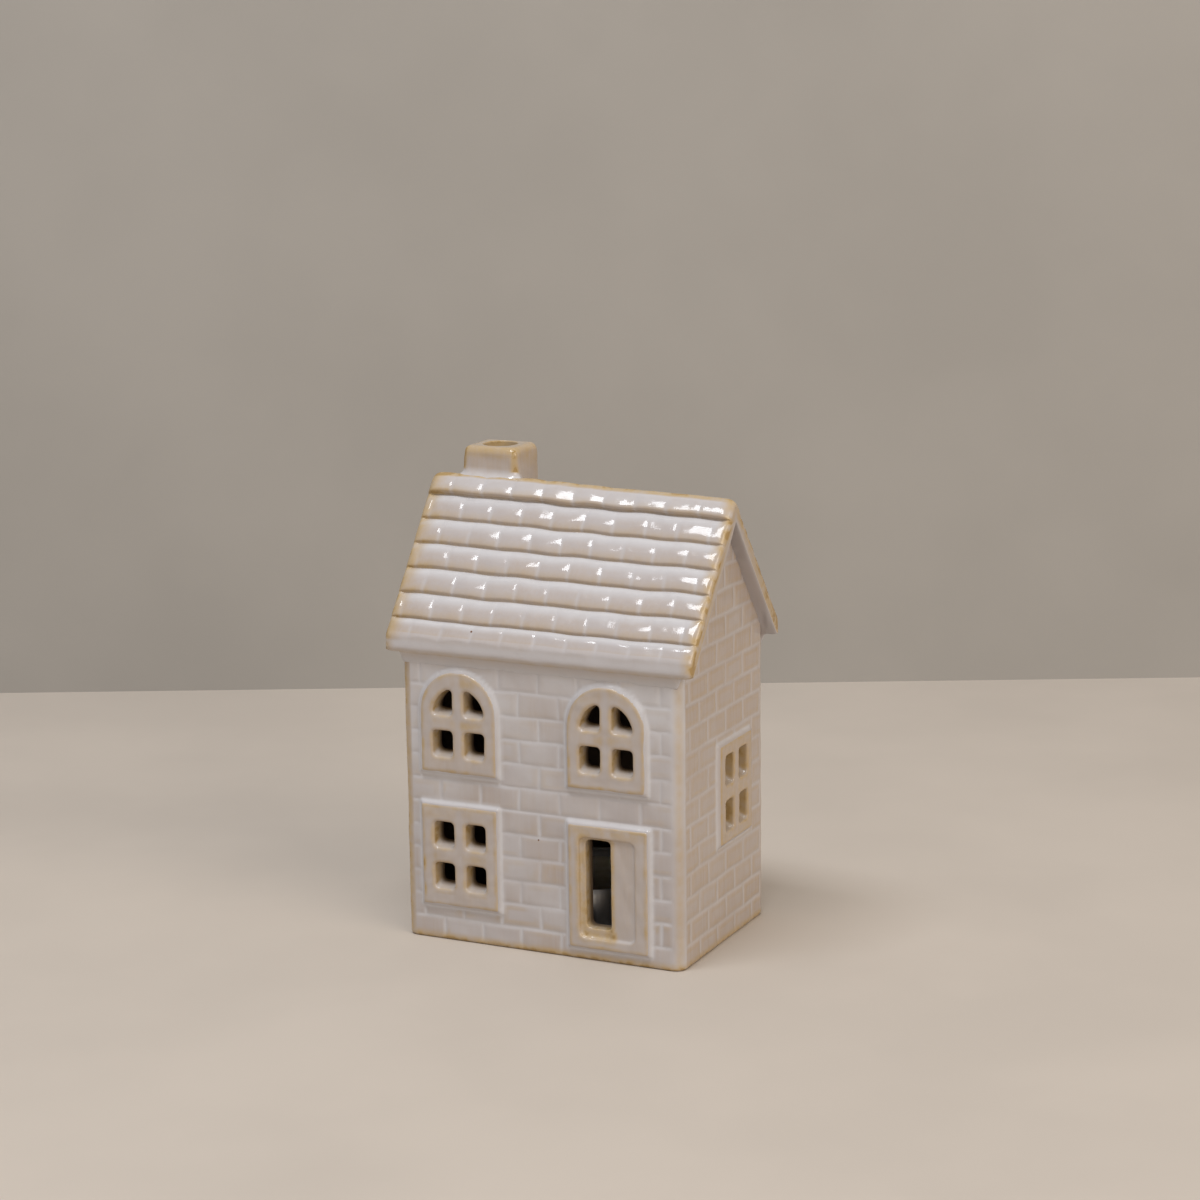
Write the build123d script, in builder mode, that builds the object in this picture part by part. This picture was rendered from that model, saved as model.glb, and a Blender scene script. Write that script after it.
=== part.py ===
from build123d import *

import os
from collections import namedtuple
from math import cos, radians, sin, tan

os.makedirs("parts", exist_ok=True)

# Tealight house: a hollow house of glazed stoneware, open underneath, set down over one tealight.
# Millimetres. +Z is up, +X is the viewer's right, and the front with the door faces -Y.
# The origin is the middle of the footprint, level with the foot rim.
# The clay is joined from slabs: four walls mitred at the corners and two roof slopes that meet
# at the ridge, with a chimney, window plates and a door case luted on.

# Walls
house_width = 78.0
house_depth = 53.3
wall = 4.4
corner_radius = 3.0
foot_round = 0.8

# Roof, with its courses of tiles
roof_pitch = 52.8
roof_thickness = 4.4
verge_overhang = 3.6
eave_overhang = 2.0
course_count = 7
eave_course_share = 0.77
course_step = 1.0
course_belly_share = 0.22
tile_width = 8.67
cut_tile_width = 3.0
tile_joint_width = 0.8
tile_joint_depth = 0.3
ridge_round = 2.2
eave_brow_round = 2.4
eave_lip_round = 1.3

# Chimney, standing on the rear slope against the ridge
chimney_width = 15.6
chimney_depth = 13.5
chimney_rise = 8.35
chimney_inset = 12.6
chimney_corner_round = 1.8
chimney_top_round = 1.4
flue_diameter = 9.0
flue_chamfer = 0.5

# Brickwork pressed into the walls
brick_length = 11.14
brick_course = 6.15
foot_course = 5.9
joint_width = 0.7
joint_depth = 0.4

# Plates luted on the walls, and the lights cut through plate and wall
plate_proud = 1.1
plate_round = 0.45
light_round = 1.0
light_taper = 6.0
bar_width = 3.2
transom_width = 3.9

square_width = 21.7
square_height = 26.8
square_sill = 9.4
square_inset = 16.5
square_lights_width = 14.8
square_lights_height = 17.9

storey_gap = 8.5
arched_width = 21.5
arched_height = 26.6
arched_left_inset = 16.7
arched_right_inset = 20.0
arched_lights_width = 14.8
arched_lights_height = 18.3
eave_gap = 3.7

gable_width = 20.4
gable_height = 26.0
gable_sill = 26.5
gable_behind_ridge = 5.8
gable_lights_width = 14.2
gable_lights_height = 20.0

# Door: a surround with a recess, in which the door stands ajar beside an open slot
recess_width = 15.2
recess_height = 26.1
recess_sill = 6.1
recess_inset = 20.1
recess_round = 1.6
left_jamb = 3.1
right_jamb = 3.7
threshold = 2.8
lintel = 3.3
leaf_proud = 0.5
leaf_fit = 0.05
slot_width = 7.0
slot_round = 1.4
rim_beside_slot = 1.4
rim_under_slot = 2.3
rim_over_slot = 0.6

# Tealight: wax and wick in a drawn aluminium cup
cup_diameter = 38.0
cup_height = 15.0
cup_gauge = 0.25
cup_draft = 1.2
cup_lip = 0.7
lip_sides = 8
wax_level = 12.0
wax_fit = 0.05
wax_creep = 0.6
clip_diameter = 13.0
clip_gauge = 0.3
clip_neck_diameter = 2.2
clip_neck_height = 4.5
wick_diameter = 1.3
wick_fit = 0.03
wick_proud = 5.0

# Every cut runs this far past what it cuts
overrun = 1.0

# Worked out from the sizes above
half_width = house_width / 2
half_depth = house_depth / 2
roof_half_width = half_width + verge_overhang
arched_sill = square_sill + square_height + storey_gap
eave_height = arched_sill + arched_height + eave_gap
pitch = radians(roof_pitch)
underside_peak = eave_height + half_depth * tan(pitch)
slope_peak = underside_peak + roof_thickness / cos(pitch)
ridge_centre = slope_peak - ridge_round / cos(pitch)
ridge_foot = ridge_round * tan(pitch)
chimney_top = ridge_centre + ridge_round + chimney_rise
chimney_across = chimney_inset - half_width
eave_reach = half_depth + eave_overhang
slope_length = eave_reach / cos(pitch)
course = slope_length / (course_count - 1 + eave_course_share)
recess_across = half_width - recess_inset
slot_height = recess_height - rim_under_slot - rim_over_slot
slot_across = recess_across - recess_width / 2 + rim_beside_slot + slot_width / 2
slot_sill = recess_sill + rim_under_slot

# The faces of the walls, each seen from outside with its Y up
front_face = Plane(origin=(0, -half_depth, 0), x_dir=(1, 0, 0), z_dir=(0, -1, 0))
rear_face = Plane(origin=(0, half_depth, 0), x_dir=(-1, 0, 0), z_dir=(0, 1, 0))
left_face = Plane(origin=(-half_width, 0, 0), x_dir=(0, -1, 0), z_dir=(-1, 0, 0))
right_face = Plane(origin=(half_width, 0, 0), x_dir=(0, 1, 0), z_dir=(1, 0, 0))

# Plates on the walls: where each one stands, its outline and the lights in it
Plate = namedtuple("Plate", "face across sill width height lights_width lights_height arched")
arched_sizes = (arched_width, arched_height, arched_lights_width, arched_lights_height, True)
square_sizes = (square_width, square_height, square_lights_width, square_lights_height, False)
gable_sizes = (gable_width, gable_height, gable_lights_width, gable_lights_height, False)
windows = {
    "upper_left_window": Plate(
        front_face, arched_left_inset - half_width, arched_sill, *arched_sizes
    ),
    "upper_right_window": Plate(
        front_face, half_width - arched_right_inset, arched_sill, *arched_sizes
    ),
    "lower_left_window": Plate(
        front_face, square_inset - half_width, square_sill, *square_sizes
    ),
    "right_gable_window": Plate(
        right_face, gable_behind_ridge, gable_sill, *gable_sizes
    ),
}
door_plate = Plate(
    front_face,
    recess_across + (right_jamb - left_jamb) / 2,
    recess_sill - threshold,
    left_jamb + recess_width + right_jamb,
    threshold + recess_height + lintel,
    recess_width,
    recess_height,
    False,
)


def plates_on(face):
    """The windows on one wall's face."""
    return [window for window in windows.values() if window.face is face]


def draw_outline(width, height, arched, mode=Mode.ADD):
    """A rectangle that stands on its sill, with a round arch over it where it is arched."""
    upright = height - width / 2 if arched else height
    Rectangle(width, upright, align=(Align.CENTER, Align.MIN), mode=mode)
    if arched:
        with Locations((0, upright)):
            Circle(width / 2, mode=mode)


def cut_lights(window):
    """Four lights, midway up the plate, that taper from its face to the inside of the wall."""
    lights_sill = window.sill + (window.height - window.lights_height) / 2
    upright = window.lights_height - window.lights_width / 2 if window.arched else None
    transom_top = upright or (window.lights_height + transom_width) / 2
    with BuildSketch(window.face.offset(plate_proud)) as lights:
        with Locations((window.across, lights_sill)):
            draw_outline(window.lights_width, window.lights_height, window.arched)
            Rectangle(bar_width, 2 * window.lights_height, mode=Mode.SUBTRACT)
        with Locations((window.across, lights_sill + transom_top - transom_width / 2)):
            Rectangle(2 * window.lights_width, transom_width, mode=Mode.SUBTRACT)
        fillet(lights.vertices(), light_round)
    through = plate_proud + wall + overrun
    extrude(lights.sketch, amount=-through, taper=light_taper, mode=Mode.SUBTRACT)


def lay_bricks(face, plates):
    """Presses the joints of a running bond into a wall's face, and a joint round each plate."""
    run = 2 * (half_width if face.z_dir.Y else half_depth)
    top = eave_height if face.z_dir.Y else underside_peak
    levels = int((top - foot_course) / brick_course) + 2
    bricks = int(run / brick_length) + 1
    with BuildSketch(face) as joints:
        for level in range(levels):
            bed = foot_course + level * brick_course
            first = brick_length * (2 - level % 2) / 2 - run / 2
            with Locations((0, bed)):
                Rectangle(run, joint_width)
            with Locations(*[(first + n * brick_length, bed) for n in range(bricks)]):
                Rectangle(joint_width, brick_course, align=(Align.CENTER, Align.MAX))
        Rectangle(run - 2 * corner_radius, 2 * top, mode=Mode.INTERSECT)
        for plate in plates:
            with Locations((plate.across, plate.sill - joint_width)):
                grown = (plate.width + 2 * joint_width, plate.height + 2 * joint_width)
                draw_outline(*grown, plate.arched)
            with Locations((plate.across, plate.sill)):
                draw_outline(plate.width, plate.height, plate.arched, mode=Mode.SUBTRACT)
    extrude(joints.sketch, amount=-joint_depth, mode=Mode.SUBTRACT)


def stand_wall(*plan):
    """Raises one wall from its plan, up to the underside of the roof."""
    with BuildSketch() as footprint:
        RectangleRounded(house_width, house_depth, corner_radius)
    extrude(footprint.sketch, amount=underside_peak)
    fillet(edges().group_by(Axis.Z)[0], foot_round)
    with BuildSketch() as strip:
        with BuildLine():
            Polyline(*plan, close=True)
        make_face()
    extrude(strip.sketch, amount=underside_peak, mode=Mode.INTERSECT)
    with BuildSketch(Plane.YZ) as under_roof:
        with BuildLine():
            Polyline(
                (-half_depth, 0),
                (half_depth, 0),
                (half_depth, eave_height),
                (0, underside_peak),
                (-half_depth, eave_height),
                close=True,
            )
        make_face()
    extrude(under_roof.sketch, amount=house_width, both=True, mode=Mode.INTERSECT)


def stand_long_wall(side):
    """The front wall (side -1) or the rear wall (side 1), mitred at both corners."""
    stand_wall(
        (-half_width, side * half_depth),
        (half_width, side * half_depth),
        (half_width - wall, side * (half_depth - wall)),
        (wall - half_width, side * (half_depth - wall)),
    )


def stand_gable_wall(side):
    """The left wall (side -1) or the right wall (side 1), mitred at both corners."""
    stand_wall(
        (side * half_width, -half_depth),
        (side * half_width, half_depth),
        (side * (half_width - wall), half_depth - wall),
        (side * (half_width - wall), wall - half_depth),
    )


# Front wall, with three windows and the open slot beside the door
with BuildPart() as front_wall:
    stand_long_wall(-1)
    lay_bricks(front_face, plates_on(front_face) + [door_plate])
    for window in plates_on(front_face):
        cut_lights(window)
    with BuildSketch(front_face):
        with Locations((slot_across, slot_sill + slot_height / 2)):
            RectangleRounded(slot_width, slot_height, slot_round)
    extrude(amount=-(wall + overrun), mode=Mode.SUBTRACT)
front_wall.part.label = "front_wall"
export_step(front_wall.part, "parts/front_wall.step")

# Rear wall
with BuildPart() as rear_wall:
    stand_long_wall(1)
    lay_bricks(rear_face, plates_on(rear_face))
rear_wall.part.label = "rear_wall"
export_step(rear_wall.part, "parts/rear_wall.step")

# Left gable wall
with BuildPart() as left_gable_wall:
    stand_gable_wall(-1)
    lay_bricks(left_face, plates_on(left_face))
left_gable_wall.part.label = "left_gable_wall"
export_step(left_gable_wall.part, "parts/left_gable_wall.step")

# Right gable wall, with one window
with BuildPart() as right_gable_wall:
    stand_gable_wall(1)
    lay_bricks(right_face, plates_on(right_face))
    for window in plates_on(right_face):
        cut_lights(window)
right_gable_wall.part.label = "right_gable_wall"
export_step(right_gable_wall.part, "parts/right_gable_wall.step")

# Window plates, with rounded front edges
for name, window in windows.items():
    with BuildPart() as window_plate:
        with BuildSketch(window.face):
            with Locations((window.across, window.sill)):
                draw_outline(window.width, window.height, window.arched)
        extrude(amount=plate_proud)
        outward = Axis(window.face.origin, window.face.z_dir)
        fillet(window_plate.faces().sort_by(outward)[-1].edges(), plate_round)
        cut_lights(window)
    window_plate.part.label = name
    export_step(window_plate.part, f"parts/{name}.step")

# Door surround: a plate with a rounded recess for the door
with BuildPart() as door_surround:
    with BuildSketch(front_face):
        with Locations((door_plate.across, door_plate.sill)):
            draw_outline(door_plate.width, door_plate.height, door_plate.arched)
        with Locations((recess_across, recess_sill + recess_height / 2)):
            RectangleRounded(recess_width, recess_height, recess_round, mode=Mode.SUBTRACT)
    extrude(amount=plate_proud)
    fillet(door_surround.faces().sort_by(Axis.Y)[0].edges(), plate_round)
door_surround.part.label = "door_surround"
export_step(door_surround.part, "parts/door_surround.step")

# Door leaf: what shows of the door ajar, from the slot to the recess's right side
with BuildPart() as door_leaf:
    with BuildSketch(front_face):
        with Locations((recess_across, recess_sill + recess_height / 2)):
            RectangleRounded(
                recess_width - 2 * leaf_fit,
                recess_height - 2 * leaf_fit,
                recess_round - leaf_fit,
            )
        with Locations((slot_across + slot_width / 2, recess_sill + recess_height / 2)):
            beside_slot = (Align.MIN, Align.CENTER)
            Rectangle(recess_width, recess_height, align=beside_slot, mode=Mode.INTERSECT)
    extrude(amount=leaf_proud)
door_leaf.part.label = "door_leaf"
export_step(door_leaf.part, "parts/door_leaf.step")


def on_slope(down, under=0):
    """A point so far down the front slope from its peak, and so far under the line of noses."""
    return (
        under * sin(pitch) - down * cos(pitch),
        slope_peak - down * sin(pitch) - under * cos(pitch),
    )


def nose_of(row):
    """How far down the slope a course's nose lies. The course at the eave is cut short."""
    return min((row + 1) * course, slope_length)


def draw_course(row, under=0):
    """The swelling face of one course below the top one, or a line so far under that face."""
    return ThreePointArc(
        on_slope(row * course, course_step + under),
        on_slope((row * course + nose_of(row)) / 2, course_belly_share * course_step + under),
        on_slope(nose_of(row), under),
    )


def tile_joints(row):
    """The planes of one course's upright joints, which stand over the middles of the next one's tiles."""
    first = cut_tile_width + tile_width / 2 * (1 - row % 2)
    count = int((2 * roof_half_width - first - tile_joint_width) / tile_width) + 1
    return [Plane.YZ.offset(first - roof_half_width + n * tile_width) for n in range(count)]


# Front slope of the roof: each course of tiles swells to a nose that stands over the next
with BuildPart() as front_roof_slope:
    with BuildSketch(Plane.YZ) as slope_section:
        with BuildLine():
            ridge = CenterArc((0, ridge_centre), ridge_round, 90, roof_pitch)
            Line(ridge @ 1, on_slope(course))
            for row in range(1, course_count):
                Line(on_slope(row * course), on_slope(row * course, course_step))
                draw_course(row)
            Polyline(
                on_slope(slope_length),
                (-eave_reach, eave_height),
                (-half_depth, eave_height),
                (0, underside_peak),
                (0, ridge_centre + ridge_round),
            )
        make_face()
        fillet(vertices().group_by(Axis.X)[0].sort_by(Axis.Y)[-1], eave_brow_round)
        fillet(vertices().group_by(Axis.X)[0].sort_by(Axis.Y)[0], eave_lip_round)
    extrude(amount=roof_half_width, both=True)
    for row in range(course_count):
        with BuildSketch(*tile_joints(row)):
            with BuildLine():
                if row:
                    floor = draw_course(row, tile_joint_depth)
                else:
                    floor = Line(
                        on_slope(ridge_foot, tile_joint_depth),
                        on_slope(course, tile_joint_depth),
                    )
                Polyline(
                    floor @ 1,
                    on_slope(nose_of(row), -overrun),
                    on_slope(row * course or ridge_foot, -overrun),
                    floor @ 0,
                )
            make_face()
        extrude(amount=tile_joint_width / 2, both=True, mode=Mode.SUBTRACT)
front_roof_slope.part.label = "front_roof_slope"
export_step(front_roof_slope.part, "parts/front_roof_slope.step")

# Rear slope of the roof: the front slope's mirror image, bored for the flue
rear_tiles = mirror(front_roof_slope.part, about=Plane.XZ)
with BuildPart() as rear_roof_slope:
    add(rear_tiles)
    with Locations((chimney_across, chimney_depth / 2, chimney_top)):
        Hole(flue_diameter / 2, chimney_top)
rear_roof_slope.part.label = "rear_roof_slope"
export_step(rear_roof_slope.part, "parts/rear_roof_slope.step")

# Chimney: a rounded stack with a round flue, its foot shaped to the tiles it stands on
with BuildPart() as chimney:
    with BuildSketch():
        with Locations((chimney_across, chimney_depth / 2)):
            RectangleRounded(chimney_width, chimney_depth, chimney_corner_round)
    extrude(amount=chimney_top)
    fillet(chimney.edges().group_by(Axis.Z)[-1], chimney_top_round)
    with BuildSketch(Plane.YZ):
        with BuildLine():
            Polyline((0, 0), (half_depth, 0), (half_depth, eave_height), (0, underside_peak), close=True)
        make_face()
    extrude(amount=house_width, both=True, mode=Mode.SUBTRACT)
    add(rear_tiles, mode=Mode.SUBTRACT)
    with Locations((chimney_across, chimney_depth / 2, chimney_top)):
        Hole(flue_diameter / 2, chimney_top)
    chamfer(chimney.edges().filter_by(GeomType.CIRCLE).group_by(Axis.Z)[-1], flue_chamfer)
chimney.part.label = "chimney"
export_step(chimney.part, "parts/chimney.step")

# Tealight radii: of the cup's wall under its lip and at its base
rim_radius = (cup_diameter - cup_lip) / 2
base_radius = rim_radius - cup_height * tan(radians(cup_draft))


def inner_radius(height):
    """The radius inside the cup at a height above the table."""
    return base_radius + height * tan(radians(cup_draft)) - cup_gauge


# Tealight cup: drawn thin, with a rolled lip
with BuildPart() as tealight_cup:
    with BuildSketch(Plane.XZ):
        with BuildLine():
            Polyline((0, 0), (base_radius, 0), (rim_radius, cup_height), (0, cup_height), close=True)
        make_face()
        with BuildLine():
            Polyline(
                (0, cup_gauge),
                (inner_radius(cup_gauge), cup_gauge),
                (inner_radius(cup_height), cup_height),
                (0, cup_height),
                close=True,
            )
        make_face(mode=Mode.SUBTRACT)
        with Locations((rim_radius, cup_height - cup_lip / 2)):
            RegularPolygon(cup_lip / 2, lip_sides, major_radius=False, rotation=180 / lip_sides)
    revolve(axis=Axis.Z)
tealight_cup.part.label = "tealight_cup"
export_step(tealight_cup.part, "parts/tealight_cup.step")

# Wick clip: a tinned disc on the cup's base, with a neck that holds the wick upright
clip_top = cup_gauge + clip_gauge
neck_top = clip_top + clip_neck_height
wick_hole = wick_diameter / 2 + wick_fit
with BuildPart() as wick_clip:
    with BuildSketch(Plane.XY.offset(cup_gauge)):
        Circle(clip_diameter / 2)
    extrude(amount=clip_gauge)
    with BuildSketch(Plane.XY.offset(clip_top)):
        Circle(clip_neck_diameter / 2)
        Circle(wick_hole, mode=Mode.SUBTRACT)
    extrude(amount=clip_neck_height)
wick_clip.part.label = "wick_clip"
export_step(wick_clip.part, "parts/wick_clip.step")

# Wick
with BuildPart() as wick:
    with BuildSketch(Plane.XY.offset(clip_top)):
        Circle(wick_diameter / 2)
    extrude(amount=wax_level + wick_proud - clip_top)
wick.part.label = "wick"
export_step(wick.part, "parts/wick.step")

# Tealight wax: poured round the clip and the wick, and drawn up a little where it wets the cup
with BuildPart() as tealight_wax:
    clip_edge = clip_diameter / 2 + wax_fit
    neck_edge = clip_neck_diameter / 2 + wax_fit
    wax_edge = inner_radius(wax_level + wax_creep) - wax_fit
    with BuildSketch(Plane.XZ):
        with BuildLine():
            Polyline(
                (wax_edge, wax_level + wax_creep),
                (inner_radius(cup_gauge) - wax_fit, cup_gauge),
                (clip_edge, cup_gauge),
                (clip_edge, clip_top),
                (neck_edge, clip_top),
                (neck_edge, neck_top),
                (wick_hole, neck_top),
                (wick_hole, wax_level),
                (wax_edge - wax_creep, wax_level),
                close=True,
            )
        make_face()
    revolve(axis=Axis.Z)
tealight_wax.part.label = "tealight_wax"
export_step(tealight_wax.part, "parts/tealight_wax.step")
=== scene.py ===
"""Tealight house: a hollow house of glazed stoneware that is set down over one tealight.

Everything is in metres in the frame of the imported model: +Z up, the front with the door faces -Y.
The clay relief is worked out in millimetres and scaled when a mesh is made.
"""

from math import ceil, cos, pi, radians, sin, sqrt, tan

import bmesh
import bpy
import numpy as np
from bpy.props import FloatProperty, IntProperty, PointerProperty, StringProperty
from mathutils import Matrix, Vector


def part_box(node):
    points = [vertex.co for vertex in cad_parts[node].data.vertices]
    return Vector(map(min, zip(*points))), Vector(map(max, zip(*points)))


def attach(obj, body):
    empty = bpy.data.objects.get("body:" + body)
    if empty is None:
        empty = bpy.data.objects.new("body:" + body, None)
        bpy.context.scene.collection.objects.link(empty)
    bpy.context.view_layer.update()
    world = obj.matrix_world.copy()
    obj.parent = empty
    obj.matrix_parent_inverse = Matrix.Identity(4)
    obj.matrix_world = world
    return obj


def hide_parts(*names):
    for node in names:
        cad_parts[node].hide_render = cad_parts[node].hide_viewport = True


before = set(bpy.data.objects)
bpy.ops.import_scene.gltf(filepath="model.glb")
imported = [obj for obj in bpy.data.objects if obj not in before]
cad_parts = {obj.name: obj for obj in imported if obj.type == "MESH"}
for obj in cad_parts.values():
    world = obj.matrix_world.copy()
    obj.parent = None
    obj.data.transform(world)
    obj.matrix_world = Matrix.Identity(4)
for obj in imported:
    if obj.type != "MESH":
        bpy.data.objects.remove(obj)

bl_info = {
    "name": "Tealight house",
    "version": (1, 0, 0),
    "blender": (4, 5, 0),
    "location": "View3D > Sidebar > Tealight house",
    "description": "Builds a glazed stoneware tealight house, its tealight and a stage",
    "category": "Add Mesh",
}

MM = 0.001
# Lengths are kept in metres and shown to a hundredth of a millimetre
LENGTH = {"unit": "LENGTH", "precision": 5}


class ClaySizes(bpy.types.PropertyGroup):
    """Relief of the clay: bricks, tiles and the foot of the chimney."""

    brick_length: FloatProperty(
        name="Brick length", description="One brick with its joint", default=0.01114, **LENGTH
    )
    brick_course: FloatProperty(
        name="Brick course", description="Height of a course of bricks", default=0.00615, **LENGTH
    )
    foot_course: FloatProperty(
        name="Foot course", description="Height of the lowest bed joint", default=0.0059, **LENGTH
    )
    joint_width: FloatProperty(
        name="Joint width",
        description="Width of a pressed joint from shoulder to shoulder",
        default=0.0016,
        **LENGTH,
    )
    joint_depth: FloatProperty(
        name="Joint depth",
        description="Depth of a pressed joint once glaze has run into it",
        default=0.00015,
        **LENGTH,
    )
    roof_pitch: FloatProperty(
        name="Roof pitch",
        description="Slope of the roof from level",
        default=radians(52.8),
        subtype="ANGLE",
    )
    courses: IntProperty(
        name="Courses of tiles",
        description="Courses on each slope, with the short one at the eave",
        default=7,
    )
    tile_width: FloatProperty(
        name="Tile width", description="One tile with its joint", default=0.00867, **LENGTH
    )
    course_step: FloatProperty(
        name="Course step",
        description="How far a course's nose stands over the next course",
        default=0.0011,
        **LENGTH,
    )
    tile_crown: FloatProperty(
        name="Tile crown",
        description="How far the middle of a tile swells",
        default=0.00011,
        **LENGTH,
    )
    chimney_fillet: FloatProperty(
        name="Chimney fillet",
        description="Radius of the glaze and clay round the chimney's foot",
        default=0.0018,
        **LENGTH,
    )


class GlazeColours(bpy.types.PropertyGroup):
    """Colours of the reactive glaze, the tealight and the stage, as sRGB hex values."""

    body: StringProperty(
        name="Glaze body", description="Glaze of even thickness", default="BDB7B8"
    )
    pooled: StringProperty(
        name="Pooled glaze",
        description="Thick glaze that has run into joints and creases",
        default="D0CED1",
    )
    thin: StringProperty(
        name="Thin glaze",
        description="Thin glaze that lets the clay through on edges",
        default="BC9F6C",
    )
    worn: StringProperty(
        name="Worn glaze",
        description="Brown clay where the sharpest edges have hardly any glaze",
        default="8A6A3E",
    )
    warm: StringProperty(
        name="Warm glaze",
        description="Slightly thinner glaze in the middle of a brick or tile",
        default="B7A79B",
    )
    # Bare clay, darker than fired clay is, so that it also paints the shade inside the house and
    # deep in its openings
    clay: StringProperty(
        name="Bare clay",
        description="Clay inside the house and deep in its openings, past the glaze",
        default="75624E",
    )
    speck: StringProperty(
        name="Iron speck",
        description="Iron in the clay that shows through as small specks",
        default="6B4526",
    )
    foil: StringProperty(name="Foil", description="Aluminium of the cup", default="D8D9DB")
    wax: StringProperty(name="Wax", description="Paraffin wax", default="F1ECE0")
    cotton: StringProperty(name="Cotton", description="Cotton of the wick", default="EAE3D2")
    tin: StringProperty(name="Tin", description="Tinned sheet of the clip", default="C4C4C2")
    table: StringProperty(name="Table", description="Plain table", default="CCC1B6")
    wall: StringProperty(name="Backdrop", description="Plain backdrop", default="ABA6A0")


def linear(code):
    """An sRGB hex value as linear RGBA."""
    channels = [int(code[n : n + 2], 16) / 255 for n in (0, 2, 4)]
    return [c / 12.92 if c <= 0.04045 else ((c + 0.055) / 1.055) ** 2.4 for c in channels] + [1.0]


def sizes():
    """The clay sizes in millimetres and radians."""
    group = bpy.context.scene.house_clay
    values = {name: getattr(group, name) for name in ClaySizes.__annotations__}
    lengths = set(values) - {"roof_pitch", "courses"}
    return {name: value / MM if name in lengths else value for name, value in values.items()}


def box(node):
    """A node's lowest and highest corner in millimetres."""
    low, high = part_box(node)
    return np.array(low) / MM, np.array(high) / MM


# Main sizes, read from the frame
HALF_WIDTH = -box("left_gable_wall")[0][0]
HALF_DEPTH = -box("front_wall")[0][1]
WALL = box("front_wall")[1][1] - box("front_wall")[0][1]
ROOF_LOW, ROOF_HIGH = box("front_roof_slope")
EAVE = ROOF_LOW[2]
# The clay's rounds and the roof slab's thickness, as the solids have them
CORNER_ROUND = 3.0
SLAB = 4.4
RIDGE_ROUND = 2.2
BROW_ROUND = 2.4
LIP_ROUND = 1.9
# Slope of the ridge's round where the first course leaves it
RIDGE_LEAN = radians(19)
# Length of the short course at the eave, as a share of a whole course
EAVE_SHARE = 0.77
# The open slot beside the door, and the windows' lights with the bar between them
SLOT_WIDTH = 7.0
LIGHTS_WIDTH = 14.8
TRANSOM = 3.9
LIGHTS_HEIGHT = {
    "upper_left_window": 18.3,
    "upper_right_window": 18.3,
    "lower_left_window": 17.9,
    "right_gable_window": 20.0,
}


# Small helpers for shapes


def smooth(value):
    """A smooth step from 0 at 0 to 1 at 1."""
    value = np.clip(value, 0.0, 1.0)
    return value * value * (3 - 2 * value)


def swell(distance, half):
    """A soft bump: 1 at no distance and 0 from half on."""
    return 0.5 + 0.5 * np.cos(pi * np.clip(np.abs(distance) / half, 0.0, 1.0))


def ripple(points, wavelength, seed, waves=10):
    """A smooth random height, about -1 to 1, that is the same each time for a seed."""
    draw = np.random.default_rng(seed)
    turns = draw.normal(size=(waves, 3))
    turns /= np.linalg.norm(turns, axis=1)[:, None]
    turns *= (2 * pi / wavelength) * draw.uniform(0.7, 1.4, waves)[:, None]
    phases = draw.uniform(0, 2 * pi, waves)
    return np.sin(points @ turns.T + phases).sum(-1) / sqrt(waves)


def chance(*keys):
    """A fixed random number from 0 to 1 for each set of whole numbers."""
    factors = (12.9898, 78.233, 37.719)
    total = sum(np.asarray(key, float) * factor for key, factor in zip(keys, factors))
    return np.sin(total + 4.1) * 43758.5453 % 1.0


def heading(turn):
    """A direction in a plane, from its angle."""
    return np.array((cos(turn), sin(turn)))


def grid_lines(centres, half, low, high, gap, more=()):
    """Lines from low to high that are dense over each centre and never wider apart than gap."""
    closest = 0.15
    marks = [low, high, *more]
    for centre in centres:
        marks += [centre + half * share for share in (-1.0, -0.5, 0.0, 0.5, 1.0)]
    lines = [low]
    for mark in sorted(mark for mark in marks if low <= mark <= high):
        space = mark - lines[-1]
        if space < closest and mark < high:
            continue
        count = max(1, ceil(space / gap))
        lines += [lines[-1] + space * n / count for n in range(1, count + 1)]
    return np.array(lines)


def tube_faces(rings, around, closed=False):
    """Faces between rings of points. A tube that doesn't close on itself gets two ends."""
    faces = [
        (
            i * around + k,
            i * around + (k + 1) % around,
            (i + 1) % rings * around + (k + 1) % around,
            (i + 1) % rings * around + k,
        )
        for i in range(rings if closed else rings - 1)
        for k in range(around)
    ]
    if not closed:
        faces.append(tuple(range(around - 1, -1, -1)))
        faces.append(tuple(range((rings - 1) * around, rings * around)))
    return faces


def link_object(name, data):
    """A new object in the scene."""
    item = bpy.data.objects.new(name, data)
    bpy.context.scene.collection.objects.link(item)
    return item


def make_piece(name, points, faces, masks=None, weld=0.0):
    """A closed mesh piece from points in millimetres: faced outward, smooth, with glaze masks."""
    mesh = bpy.data.meshes.new(name)
    mesh.from_pydata((np.asarray(points, float) * MM).tolist(), [], faces)
    for mask, values in (masks or {}).items():
        set_mask(mesh, mask, values)
    mesh.validate()
    work = bmesh.new()
    work.from_mesh(mesh)
    if weld:
        bmesh.ops.remove_doubles(work, verts=work.verts, dist=weld * MM)
    if work.calc_volume(signed=True) < 0:
        bmesh.ops.reverse_faces(work, faces=work.faces)
    work.to_mesh(mesh)
    work.free()
    mesh.shade_smooth()
    return link_object(name, mesh)


def place(piece, body, slot, material, *nodes):
    """Puts a piece on its body, with its material and the CAD nodes that it stands for."""
    piece.data.materials.clear()
    piece.data.materials.append(material)
    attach(piece, body)
    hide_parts(*nodes)


def place_clay(piece, *nodes):
    """Puts a glazed piece on the house."""
    place(piece, "house", "cream_glaze", reactive_glaze(), *nodes)


def apply_modifiers(piece):
    """Turns a piece's modifiers into its mesh."""
    graph = bpy.context.evaluated_depsgraph_get()
    graph.update()
    made = bpy.data.meshes.new_from_object(piece.evaluated_get(graph), depsgraph=graph)
    piece.modifiers.clear()
    old, piece.data = piece.data, made
    bpy.data.meshes.remove(old)


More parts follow.
